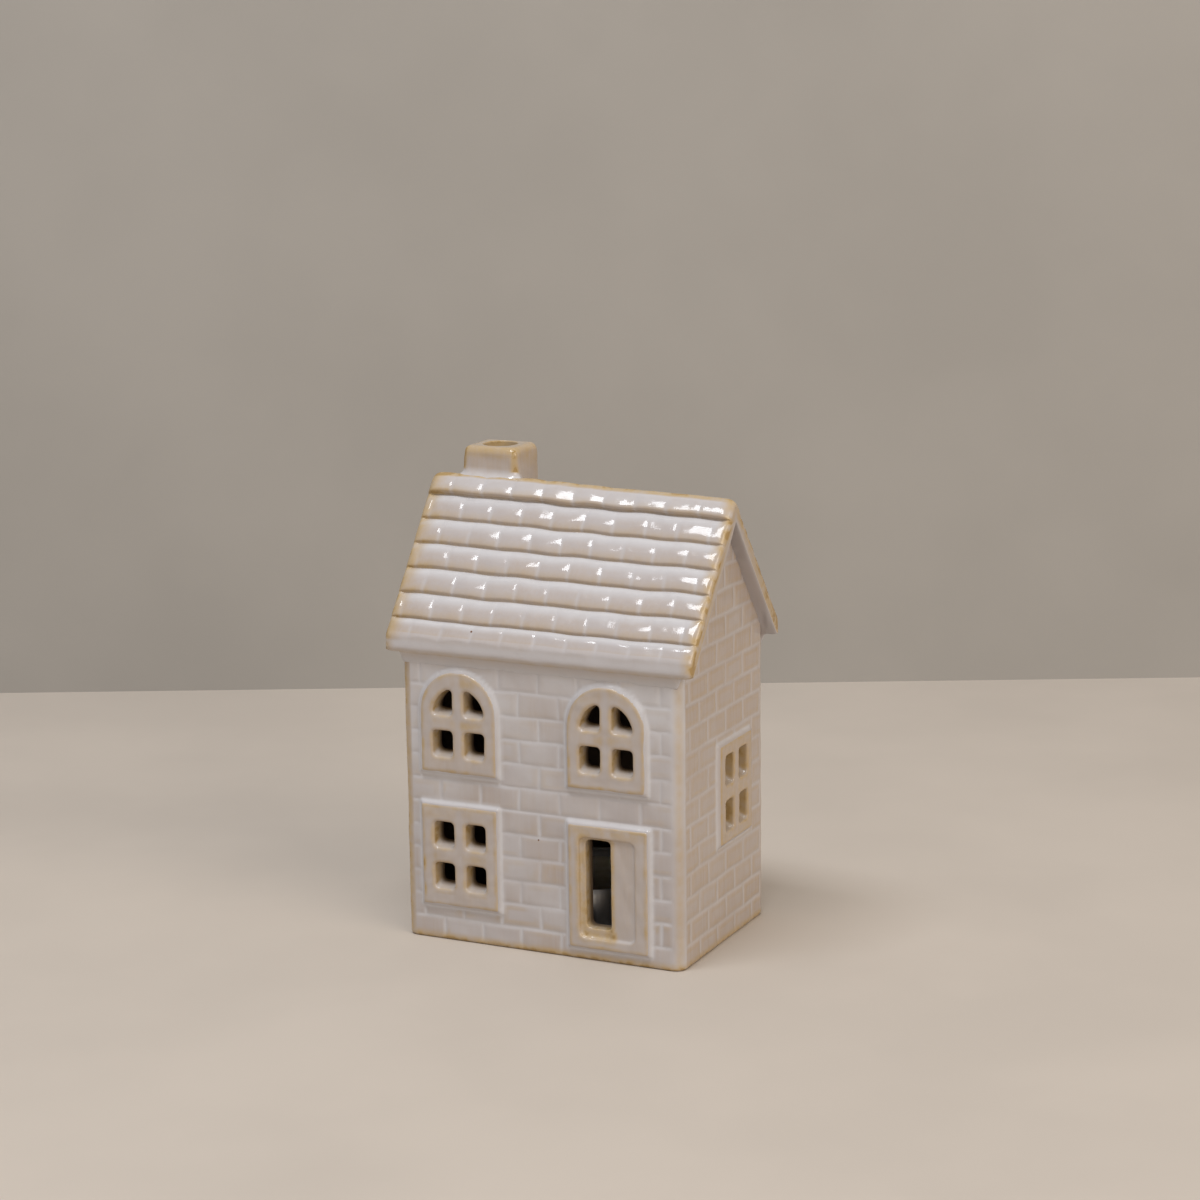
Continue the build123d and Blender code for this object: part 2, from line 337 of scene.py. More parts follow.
def cut_piece(piece, block, operation):
    """Cuts a piece with a block, which is removed: INTERSECT keeps what lies in the block."""
    cut = piece.modifiers.new("cut", "BOOLEAN")
    cut.operation, cut.object, cut.solver = operation, block, "EXACT"
    apply_modifiers(piece)
    bpy.data.objects.remove(block)


def set_mask(mesh, mask, values):
    """Writes one glaze mask on a mesh."""
    layer = mesh.attributes.get(mask) or mesh.attributes.new(mask, "FLOAT", "POINT")
    layer.data.foreach_set("value", np.asarray(values, np.float32).ravel())


def read_points(mesh):
    """A mesh's points in millimetres."""
    points = np.zeros(len(mesh.vertices) * 3)
    mesh.vertices.foreach_get("co", points)
    return points.reshape(-1, 3) / MM


def write_points(mesh, points):
    """Sets a mesh's points from millimetres."""
    mesh.vertices.foreach_set("co", (points * MM).ravel())
    mesh.update()


def relax(mesh, values, rounds, share=0.5):
    """Values on a mesh's points, each drawn towards the mean of its neighbours."""
    ends = np.zeros(len(mesh.edges) * 2, int)
    mesh.edges.foreach_get("vertices", ends)
    first, second = ends[0::2], ends[1::2]
    size = len(mesh.vertices)
    count = np.bincount(first, minlength=size) + np.bincount(second, minlength=size)
    count = np.maximum(count, 1)
    values = values.reshape(size, -1).copy()
    for _ in range(rounds):
        means = np.stack(
            [
                np.bincount(first, column[second], size) + np.bincount(second, column[first], size)
                for column in values.T
            ],
            axis=1,
        )
        values += share * (means / count[:, None] - values)
    return values


def read_normals(mesh):
    """A mesh's point normals."""
    normals = np.zeros(len(mesh.vertices) * 3)
    mesh.vertex_normals.foreach_get("vector", normals)
    return normals.reshape(-1, 3)


def form_masks(mesh, depth):
    """Masks from the form itself: glaze thins on convex edges and pools in hollows."""
    points, normals = read_points(mesh), read_normals(mesh)
    near, wide = (
        ((points - relax(mesh, points, rounds)) * normals).sum(1) for rounds in (6, 22)
    )
    near, wide = relax(mesh, np.stack([near, wide], axis=1), 2).T
    # The wide form stands out 1.9 times as far as the near one
    height = 0.45 * near / depth + 0.55 * wide / (1.9 * depth)
    return np.clip(height, 0, 1), np.clip(-height, 0, 1)


# Materials


def add_node(tree, kind, inputs=(), **settings):
    """Adds a node with its settings; an input takes a value or another node's output."""
    node = tree.nodes.new(kind)
    for name, value in settings.items():
        setattr(node, name, value)
    for key, value in dict(inputs).items():
        if isinstance(value, bpy.types.NodeSocket):
            tree.links.new(value, node.inputs[key])
        else:
            node.inputs[key].default_value = value
    return node


def new_material(name):
    """A material with an empty shader: its tree, its shader and places on the object in metres."""
    material = bpy.data.materials.new(name)
    material.use_nodes = True
    tree = material.node_tree
    tree.nodes.clear()
    shader = add_node(tree, "ShaderNodeBsdfPrincipled")
    add_node(tree, "ShaderNodeOutputMaterial", {"Surface": shader.outputs[0]})
    return material, tree, shader, add_node(tree, "ShaderNodeTexCoord").outputs["Object"]


def reactive_glaze():
    """Stoneware with a gloss reactive glaze: white where it pools, brown where it runs thin."""
    found = bpy.data.materials.get("reactive_stoneware_glaze")
    if found:
        return found
    colours = bpy.context.scene.house_colours
    material, tree, shader, here = new_material("reactive_stoneware_glaze")
    masks = {
        name: add_node(tree, "ShaderNodeAttribute", attribute_name=name).outputs["Fac"]
        for name in ("pool", "bare", "tint", "deep")
    }
    # Dipped glaze is never even: patches about 14 mm across run warmer, drags about 0.4 mm apart
    # run down the clay, its borders are ragged at 2.6 mm, and its gloss waves at 3.4 and 0.9 mm
    noise = {}
    for name, size, detail, stretch in (
        ("patches", 0.014, 3.0, (1, 1, 1)),
        ("drags", 0.0008, 2.0, (1, 1, 0.08)),
        ("ragged", 0.0026, 3.0, (1, 1, 1)),
        ("waves", 0.0034, 1.0, (1, 1, 1)),
        ("peel", 0.0009, 1.0, (1, 1, 1)),
    ):
        scaled = add_node(tree, "ShaderNodeVectorMath", {0: here, 1: stretch}, operation="MULTIPLY")
        inputs = {"Vector": scaled.outputs[0], "Scale": 1 / size, "Detail": detail}
        noise[name] = add_node(tree, "ShaderNodeTexNoise", inputs).outputs["Fac"]
    # Iron specks about 0.4 mm across, one here and there
    cells = add_node(tree, "ShaderNodeTexVoronoi", {"Vector": here, "Scale": 1 / 0.0085})
    picked = add_node(tree, "ShaderNodeSeparateColor", {0: cells.outputs["Color"]}).outputs[0]
    share = {}
    for name, value, low, high, out_low, out_high in (
        ("patches", noise["patches"], 0.4, 0.75, 0.0, 0.3),
        ("drags", noise["drags"], 0.3, 0.7, 0.65, 1.0),
        ("pooled", noise["ragged"], 0.15, 0.6, 0.7, 1.0),
        ("thinned", noise["ragged"], 0.25, 0.7, 0.6, 1.2),
        ("deep", masks["deep"], 0.0, 1.0, 0.0, 1.0),
        ("dot", cells.outputs["Distance"], 0.022, 0.042, 1.0, 0.0),
        ("picked", picked, 0.72, 0.76, 0.0, 1.0),
        ("gloss", noise["ragged"], 0.3, 0.7, 0.07, 0.13),
    ):
        share[name] = add_node(
            tree,
            "ShaderNodeMapRange",
            {0: value, 1: low, 2: high, 3: out_low, 4: out_high},
            interpolation_type="SMOOTHSTEP",
        ).outputs[0]
    for name, first, second, operation in (
        ("warm", share["patches"], masks["tint"], "ADD"),
        ("pooled", share["pooled"], masks["pool"], "MULTIPLY"),
        ("thinned", share["thinned"], masks["bare"], "MULTIPLY"),
        ("speck", share["dot"], share["picked"], "MULTIPLY"),
    ):
        share[name] = add_node(
            tree, "ShaderNodeMath", {0: first, 1: second}, operation=operation, use_clamp=True
        ).outputs[0]
    # The brown shows only where the glaze is thinnest
    worn = add_node(
        tree,
        "ShaderNodeMapRange",
        {0: share["thinned"], 1: 0.8, 2: 1.0, 3: 0.0, 4: 0.42},
        interpolation_type="SMOOTHSTEP",
    )
    warm = add_node(
        tree, "ShaderNodeMath", {0: share["warm"], 1: share["drags"]}, operation="MULTIPLY"
    )
    colour = linear(colours.body)
    for amount, code in (
        (warm.outputs[0], colours.warm),
        (share["pooled"], colours.pooled),
        (share["thinned"], colours.thin),
        (worn.outputs[0], colours.worn),
        # Darkened bare clay: painted shade inside the house, in the flue and deep in the openings
        (share["deep"], colours.clay),
        (share["speck"], colours.speck),
    ):
        colour = add_node(
            tree, "ShaderNodeMix", {0: amount, 6: colour, 7: linear(code)}, data_type="RGBA"
        ).outputs[2]
    tree.links.new(colour, shader.inputs["Base Color"])
    # Fired gloss: glassy, with a slight orange peel, and dull on the bare clay with its painted
    # shade
    rough = add_node(
        tree,
        "ShaderNodeMath",
        {0: masks["deep"], 1: 0.5, 2: share["gloss"]},
        operation="MULTIPLY_ADD",
    )
    tree.links.new(rough.outputs[0], shader.inputs["Roughness"])
    shader.inputs["IOR"].default_value = 1.52
    soft = add_node(
        tree, "ShaderNodeBump", {"Strength": 0.3, "Distance": 0.0002, "Height": noise["waves"]}
    )
    fine = add_node(
        tree,
        "ShaderNodeBump",
        {"Strength": 0.12, "Distance": 0.00005, "Height": noise["peel"], "Normal": soft.outputs[0]},
    )
    tree.links.new(fine.outputs[0], shader.inputs["Normal"])
    return material


def metal_sheet(name, code, size, stretch, gloss, dent):
    """Bare metal sheet with drawn or rolled lines and soft dents."""
    material, tree, shader, here = new_material(name)
    shader.inputs["Base Color"].default_value = linear(code)
    shader.inputs["Metallic"].default_value = 1.0
    scaled = add_node(tree, "ShaderNodeVectorMath", {0: here, 1: stretch}, operation="MULTIPLY")
    lines = add_node(tree, "ShaderNodeTexNoise", {"Vector": scaled.outputs[0], "Scale": 1 / size})
    dents = add_node(tree, "ShaderNodeTexNoise", {"Vector": here, "Scale": 1 / dent})
    rough = add_node(
        tree,
        "ShaderNodeMapRange",
        {0: lines.outputs["Fac"], 1: 0.3, 2: 0.7, 3: gloss[0], 4: gloss[1]},
        interpolation_type="SMOOTHSTEP",
    )
    tree.links.new(rough.outputs[0], shader.inputs["Roughness"])
    normal = None
    for height, depth in ((dents, 0.0002), (lines, 0.00003)):
        inputs = {"Strength": 0.3, "Distance": depth, "Height": height.outputs["Fac"]}
        if normal:
            inputs["Normal"] = normal
        normal = add_node(tree, "ShaderNodeBump", inputs).outputs[0]
    tree.links.new(normal, shader.inputs["Normal"])
    return material


def drawn_foil():
    """Deep-drawn aluminium foil: bright, with draw lines 0.6 mm apart and soft dents."""
    foil = bpy.context.scene.house_colours.foil
    return metal_sheet("drawn_aluminium_foil", foil, 0.0006, (1, 1, 0.04), (0.34, 0.5), 0.006)


def tinned_sheet():
    """Pressed tinned sheet: a soft grey gloss with rolling marks 0.4 mm apart."""
    tin = bpy.context.scene.house_colours.tin
    return metal_sheet("pressed_tinned_sheet", tin, 0.0004, (0.08, 1, 1), (0.28, 0.45), 0.004)


def cloudy_surface(name, light, dark, size, stretch, gloss, depth):
    """A dull material whose colour, roughness and height vary together."""
    material, tree, shader, here = new_material(name)
    scaled = add_node(tree, "ShaderNodeVectorMath", {0: here, 1: stretch}, operation="MULTIPLY")
    cloud = add_node(
        tree,
        "ShaderNodeTexNoise",
        {"Vector": scaled.outputs[0], "Scale": 1 / size, "Detail": 3.0},
    ).outputs["Fac"]
    for socket, low, high in (("Base Color", light, dark), ("Roughness", *gloss)):
        share = add_node(
            tree,
            "ShaderNodeMapRange",
            {0: cloud, 1: 0.3, 2: 0.7, 3: 0.0, 4: 1.0},
            interpolation_type="SMOOTHSTEP",
        )
        kind, ends, out = ("RGBA", (6, 7), 2) if socket == "Base Color" else ("FLOAT", (2, 3), 0)
        inputs = {0: share.outputs[0], ends[0]: low, ends[1]: high}
        mixed = add_node(tree, "ShaderNodeMix", inputs, data_type=kind)
        tree.links.new(mixed.outputs[out], shader.inputs[socket])
    bump = add_node(tree, "ShaderNodeBump", {"Strength": 0.3, "Distance": depth, "Height": cloud})
    tree.links.new(bump.outputs[0], shader.inputs["Normal"])
    return material, shader


def paraffin():
    """Poured paraffin wax: milky, lets light in a little and has a satin skin with 4 mm blooms."""
    wax = bpy.context.scene.house_colours.wax
    material, shader = cloudy_surface(
        "poured_paraffin_wax", linear(wax), linear("E6DFCF"), 0.004, (1, 1, 1), (0.36, 0.5), 0.0002
    )
    shader.inputs["IOR"].default_value = 1.43
    shader.inputs["Subsurface Weight"].default_value = 0.35
    shader.inputs["Subsurface Radius"].default_value = (1.0, 0.8, 0.6)
    shader.inputs["Subsurface Scale"].default_value = 0.003
    return material


def waxed_cotton():
    """Braided cotton soaked in wax: matt, with threads about 0.18 mm apart."""
    light, dark = linear(bpy.context.scene.house_colours.cotton), linear("CDC3AC")
    material, shader = cloudy_surface(
        "waxed_braided_cotton", light, dark, 0.00018, (1, 1, 0.35), (0.65, 0.75), 0.00008
    )
    shader.inputs["Sheen Weight"].default_value = 0.2
    return material


# Plates on the walls, read from the frame


def read_plate(node):
    """A plate: its wall's side, which is 0 in front and 1 on the right, its place and its size."""
    low, high = box(node)
    side = 1 if node == "right_gable_window" else 0
    return {
        "node": node,
        "side": side,
        "middle": (low[side] + high[side]) / 2,
        "sill": low[2],
        "width": high[side] - low[side],
        "height": high[2] - low[2],
        "arched": node.startswith("upper"),
    }


DOOR = read_plate("door_surround")
WINDOWS = [read_plate(node) for node in LIGHTS_HEIGHT]
PLATES = [*WINDOWS, DOOR]


def outline_distance(plate, along, height):
    """How far outside a plate's outline a place on its wall lies, less than zero inside."""
    across = np.abs(along - plate["middle"])
    half = plate["width"] / 2
    tall = plate["height"] - half if plate["arched"] else plate["height"]
    beside = across - half
    over = np.abs(height - plate["sill"] - tall / 2) - tall / 2
    inside = np.minimum(np.maximum(beside, over), 0)
    corner = np.hypot(np.maximum(beside, 0), np.maximum(over, 0)) + inside
    if not plate["arched"]:
        return corner
    arch = np.hypot(across, height - plate["sill"] - tall) - half
    return np.minimum(corner, arch)


# Walls

# Lines of the walls' grid outside a plate's outline, parts of an arch, and the widest cell
OUTLINE_LINES = (0.0, 0.25, 0.5, 0.85, 1.3)
ARCH_PARTS = 12
WALL_CELL = 0.9
# Rounds of the lining's corners and of the foot, and the width of the cove round a plate
INNER_ROUND = 0.5
FOOT_ROUND = 0.85
COVE_WIDTH = 1.3
# Added to the place along a side for a column that stands on the round of its corner
PAST_CORNER = 50.0


def wall_ring(clay):
    """Columns of the ring of walls, seen from above.

    Gives for each: outer place, inner place, outward direction, side, place along the side and
    distance to the corner.
    """
    columns = []
    length = clay["brick_length"]
    for side, direction in enumerate(np.array(((1, 0), (0, 1), (-1, 0), (0, -1)), float)):
        outward = np.array((direction[1], -direction[0]))
        reach, away = (HALF_WIDTH, HALF_DEPTH) if side % 2 == 0 else (HALF_DEPTH, HALF_WIDTH)
        straight = reach - CORNER_ROUND
        count = int(2 * reach / length) + 2
        centres = [length * (n / 2 + 0.5) - reach for n in range(2 * count)]
        edges = []
        for plate in PLATES:
            if plate["side"] == side:
                half = plate["width"] / 2
                offsets = [half + out for out in OUTLINE_LINES]
                if plate["arched"]:
                    offsets += [half * part / ARCH_PARTS for part in range(5, ARCH_PARTS)]
                edges += [plate["middle"] + way * offset for offset in offsets for way in (-1, 1)]
        lines = grid_lines(centres, clay["joint_width"] / 2, -straight, straight, WALL_CELL, edges)
        # The lining's corner is tighter, so its columns spread out towards it
        bend_in = straight - 3.0
        reach_in = reach - WALL - INNER_ROUND
        spread = np.interp(np.abs(lines), (0, bend_in, straight), (0, bend_in, reach_in))
        for along, inner_along in zip(lines, np.sign(lines) * spread):
            outer = direction * along + outward * away
            inner = direction * inner_along + outward * (away - WALL)
            columns.append((outer, inner, outward, side, along, reach - abs(along)))
        centre = direction * straight + outward * (away - CORNER_ROUND)
        centre_in = direction * reach_in + outward * (away - WALL - INNER_ROUND)
        for turn in np.arange(1, 8) * pi / 16:
            normal = outward * cos(turn) + direction * sin(turn)
            outer = centre + CORNER_ROUND * normal
            inner = centre_in + INNER_ROUND * normal
            to_corner = CORNER_ROUND * (1 - turn)
            columns.append((outer, inner, normal, side, reach + PAST_CORNER, to_corner))
    return [np.array(values) for values in zip(*columns)]


def wall_rows(clay):
    """Heights of the rows of the ring of walls."""
    levels = int((ROOF_HIGH[2] - clay["foot_course"]) / clay["brick_course"]) + 1
    beds = [clay["foot_course"] + level * clay["brick_course"] for level in range(levels)]
    edges = []
    for plate in PLATES:
        low, high = plate["sill"], plate["sill"] + plate["height"]
        for out in OUTLINE_LINES:
            edges += [low - out, high + out]
        if plate["arched"]:
            edges += [high - plate["width"] / 2 * part / ARCH_PARTS for part in range(1, 8)]
    top = ROOF_HIGH[2] - 3.0
    lines = grid_lines(beds, clay["joint_width"] / 2, 0.0, top, WALL_CELL, edges)
    foot = [0.0, 0.06, 0.18, 0.36, 0.58, FOOT_ROUND]
    return np.array(foot + [line for line in lines if line > FOOT_ROUND + 0.35])


def brick_relief(clay, along, height, side, run):
    """Depth of the joints, swell of the bricks and a tint for each brick."""
    course, length = clay["brick_course"], clay["brick_length"]
    half = clay["joint_width"] / 2
    level = np.maximum(np.ceil((height - clay["foot_course"]) / course), 0)
    bed = clay["foot_course"] + level * course
    upright = bed - height
    bed_gap = np.minimum(upright, np.where(level > 0, course - upright, 9.0))
    first = length * (2 - level % 2) / 2 - run / 2
    number = np.floor((along - first) / length)
    inside = along - first - number * length
    perp_gap = np.minimum(inside, length - inside)
    joint = np.maximum(swell(bed_gap, half), swell(perp_gap, half))
    crown = smooth(bed_gap / (course / 2)) * smooth(perp_gap / (course / 2))
    tint = chance(number, level, side)
    edge = swell(np.minimum(bed_gap, perp_gap) - half * 1.5, half)
    return joint, crown, tint, edge


def wall_faces(keep):
    """Faces of the ring's kept cells: the skin, the lining and the edges between them.

    The lining's points are numbered after the skin's. One is used only where the kept cells end,
    so that the lining has few faces.
    """
    count, cells = keep.shape
    number = np.arange(count * (cells + 1)).reshape(count, cells + 1)
    lining = number + number.size
    padded = np.pad(keep, ((0, 0), (1, 1)))
    around = padded & np.roll(padded, 1, axis=0)
    needed = ~(around[:, :-1] & around[:, 1:])
    faces = []
    for i in range(count):
        j = (i + 1) % count
        run_start = None
        for k in range(cells + 1):
            if k < cells and keep[i, k]:
                faces.append((number[i, k], number[j, k], number[j, k + 1], number[i, k + 1]))
                if not keep[i - 1, k]:
                    faces.append((number[i, k], number[i, k + 1], lining[i, k + 1], lining[i, k]))
                if not keep[j, k]:
                    faces.append((number[j, k + 1], number[j, k], lining[j, k], lining[j, k + 1]))
                if run_start is None:
                    run_start = k
                    faces.append((number[j, k], number[i, k], lining[i, k], lining[j, k]))
            elif run_start is not None:
                faces.append((number[i, k], number[j, k], lining[j, k], lining[i, k]))
                up = [lining[i, n] for n in range(run_start, k + 1) if needed[i, n]]
                down = [lining[j, n] for n in range(k, run_start - 1, -1) if needed[j, n]]
                faces.append(tuple(up + down))
                run_start = None
    return faces


def build_walls():
    """The ring of four walls, with the brick bond pressed in and rough holes behind the plates."""
    clay = sizes()
    outer, inner, normal, side, along, to_corner = wall_ring(clay)
    side, along, to_corner = side[:, None], along[:, None], to_corner[:, None]
    rows = wall_rows(clay)
    height = rows[None, :]
    shape = (len(outer), len(rows))
    run = np.where(side % 2 == 0, 2 * HALF_WIDTH, 2 * HALF_DEPTH)
    joint, crown, tint, edge = brick_relief(clay, along, height, side, run)
    beside = np.full(shape, 99.0)
    for plate in PLATES:
        near = outline_distance(plate, along, height)
        beside = np.where(side == plate["side"], np.minimum(beside, near), beside)
    open_field = smooth((to_corner - 2.2) / 1.3) * smooth((beside - 0.7) / 0.8)
    joint = joint * open_field
    places = np.zeros((2, *shape, 3))
    for layer, plan in zip(places, (outer, inner)):
        layer[..., :2] = plan[:, None, :]
        layer[..., 2] = height
    skin = places[0]
    relief = 0.05 * (crown + tint - 0.5) * open_field - clay["joint_depth"] * joint
    relief += 0.06 * ripple(skin, 12.0, 3) + 0.025 * ripple(skin, 5.0, 4)
    # Slip and glaze make a cove where the wall meets a plate
    relief += 0.85 * np.clip(1 - beside / COVE_WIDTH, 0, 1) ** 2.2
    lift = np.clip(height / FOOT_ROUND, 0, 1)
    relief = relief * smooth(height / 1.6) - FOOT_ROUND * (1 - np.sqrt(1 - (1 - lift) ** 2))
    # The bond wanders a little, but not at the plates, the corners and the foot
    free = smooth((beside - 0.8) / 2.5) * smooth((to_corner - 2.0) / 4.0) * smooth(height / 4.0)
    slide = 0.14 * ripple(skin, 17.0, 5) * free
    rise = 0.12 * ripple(skin, 15.0, 6) * free
    tangent = np.stack([-normal[:, 1], normal[:, 0]], axis=1)
    skin[..., :2] += normal[:, None, :] * relief[..., None]
    skin[..., :2] += tangent[:, None, :] * slide[..., None]
    skin[..., 2] += rise
    # Cells under the roof slab and outside the rough holes stay
    slope = tan(clay["roof_pitch"])
    mid_height = (rows[:-1] + rows[1:])[None, :] / 2
    mid_depth = np.abs(outer[:, 1] + np.roll(outer[:, 1], -1))[:, None] / 2
    mid_beside = beside + np.roll(beside, -1, axis=0)
    mid_beside = (mid_beside[:, :-1] + mid_beside[:, 1:]) / 4
    under_slab = mid_height < EAVE + (HALF_DEPTH - mid_depth) * slope + SLAB / 2
    faces = wall_faces(under_slab & (mid_beside > -1.8))
    # Glaze pools in the joints, round the plates and under the eaves, and clouds the upper courses;
    # the gables get less of this white, as part of the painted warm light on them
    gable = side % 2 == 1
    faint = np.clip(0.72 + 0.3 * ripple(skin, 23.0, 17), 0.35, 1.0)
    cloudy = 0.1 + 0.65 * smooth((height - 25) / 45) + 0.3 * ripple(skin, 19.0, 8)
    pool = np.maximum.reduce(
        [
            joint * faint * np.where(gable, 0.4, 0.85),
            swell(beside - 0.75, 0.95) * np.where(gable, 0.75, 0.95),
            0.7 * smooth((height - 71.5) / 2.5) * ~gable,
            np.clip(cloudy, 0, 0.75) * ~gable,
        ]
    )
    # It is thin on the upright corners, along the foot and in smudges on the bricks' edges
    corner = np.where(along > PAST_CORNER, CORNER_ROUND - to_corner, to_corner + 2.4)
    corner = swell(corner - np.where(gable, 2.2, 2.4), np.where(gable, 3.4, 2.0))
    corner = corner * np.where(outer[:, 0] < 0, 0.85, 0.42)[:, None]
    smudge = smooth(0.3 + 0.8 * ripple(skin, 9.0, 9)) * (1 + 1.3 * swell(height, 16.0))
    smudge = 0.26 * smudge * (1 - 0.5 * smooth((height - 40) / 20))
    bare = np.maximum(corner, 0.9 * swell(height - 0.4, 2.3))
    bare = np.maximum(bare, np.where(gable, 0.3, smudge) * edge * open_field)
    field = open_field * (1 - joint)
    # The gables are painted warmer, which paints the warm light on them, over the warmer middles of
    # the bricks
    warm = np.where(gable, 0.5 + 0.3 * field, 0.32 * field) + 0.5 * (tint - 0.45) * field
    used = np.unique(np.concatenate(faces))
    renumber = np.zeros(used[-1] + 1, int)
    renumber[used] = np.arange(len(used))
    # The lining takes the darkened bare clay, which paints the shade inside the house
    masks = {
        name: np.append(np.broadcast_to(mask, shape), np.full(shape, lining))[used]
        for name, mask, lining in (
            ("pool", pool, 0),
            ("bare", bare, 0),
            ("tint", warm, 0),
            ("deep", 0, 1),
        )
    }
    faces = [tuple(renumber[list(face)].tolist()) for face in faces]
    return make_piece("brick_walls", places.reshape(-1, 3)[used], faces, masks)


class HOUSE_OT_walls(bpy.types.Operator):
    """Build the four walls as one ring, with their brick bond"""

    bl_idname = "tealight_house.walls"
    bl_label = "Walls"

    def execute(self, context):
        nodes = ("front_wall", "rear_wall", "left_gable_wall", "right_gable_wall")
        place_clay(build_walls(), *nodes)
        return {"FINISHED"}


# Roof

# How far the ridge stands above its even line at places along it, and its height over the eave
RIDGE_BOW = ((-42.6, 0.75), (-34.0, 1.0), (-12.0, 0.7), (5.0, 0.05), (33.0, -0.45), (42.6, -0.95))
RIDGE_HEIGHT = 41.0
# Numbers of the section's parts that aren't courses of tiles
COVE, SOFFIT, LIP = -3, -2, -1
# Rows of points down a course, as shares of the way from its head to its nose
COURSE_ROWS = (
    0.88, 0.81, 0.74, 0.67, 0.6, 0.53, 0.46, 0.39, 0.32, 0.26, 0.2, 0.14, 0.1, 0.065, 0.0
)
NOSE_ROUND = 0.6
VERGE_ROUND = 1.4
# The tiles' upright joints: half their width, and the first one's distance from the left verge
JOINT_HALF = 0.85
FIRST_JOINT = 3.0
# The stack's flue, which is cut a little wider through the slab
FLUE_RADIUS = 4.4
FLUE_CUT = FLUE_RADIUS + 0.2


def bow(across, height):
    """How far the roof stands above its even line: the ridge sinks towards the right."""
    places, rises = zip(*RIDGE_BOW)
    return np.interp(across, places, rises) * np.clip((height - EAVE) / RIDGE_HEIGHT, 0, 1)


def roof_lines(clay):
    """Heights of the roof's construction lines: underside peak, nose-line peak, ridge centre."""
    pitch = clay["roof_pitch"]
    underside = EAVE + HALF_DEPTH * tan(pitch)
    peak = underside + SLAB / cos(pitch)
    return underside, peak, peak - RIDGE_ROUND / cos(pitch)


def course_under(share, step, last):
    """How far the face of a course lies under the line of noses, from its head to its nose."""
    if last:
        return step * (max(0.45 - share, 0) / 0.45) ** 2
    return step * ((share - 0.7) / 0.7) ** 2


def ridge_under(down, pitch):
    """The same for the course at the ridge, which bulges out of the ridge's round."""
    below = down - RIDGE_ROUND * (tan(pitch) - sin(RIDGE_LEAN))
    return RIDGE_ROUND * (1 - cos(RIDGE_LEAN)) - tan(RIDGE_LEAN) * below + 0.043 * below**2


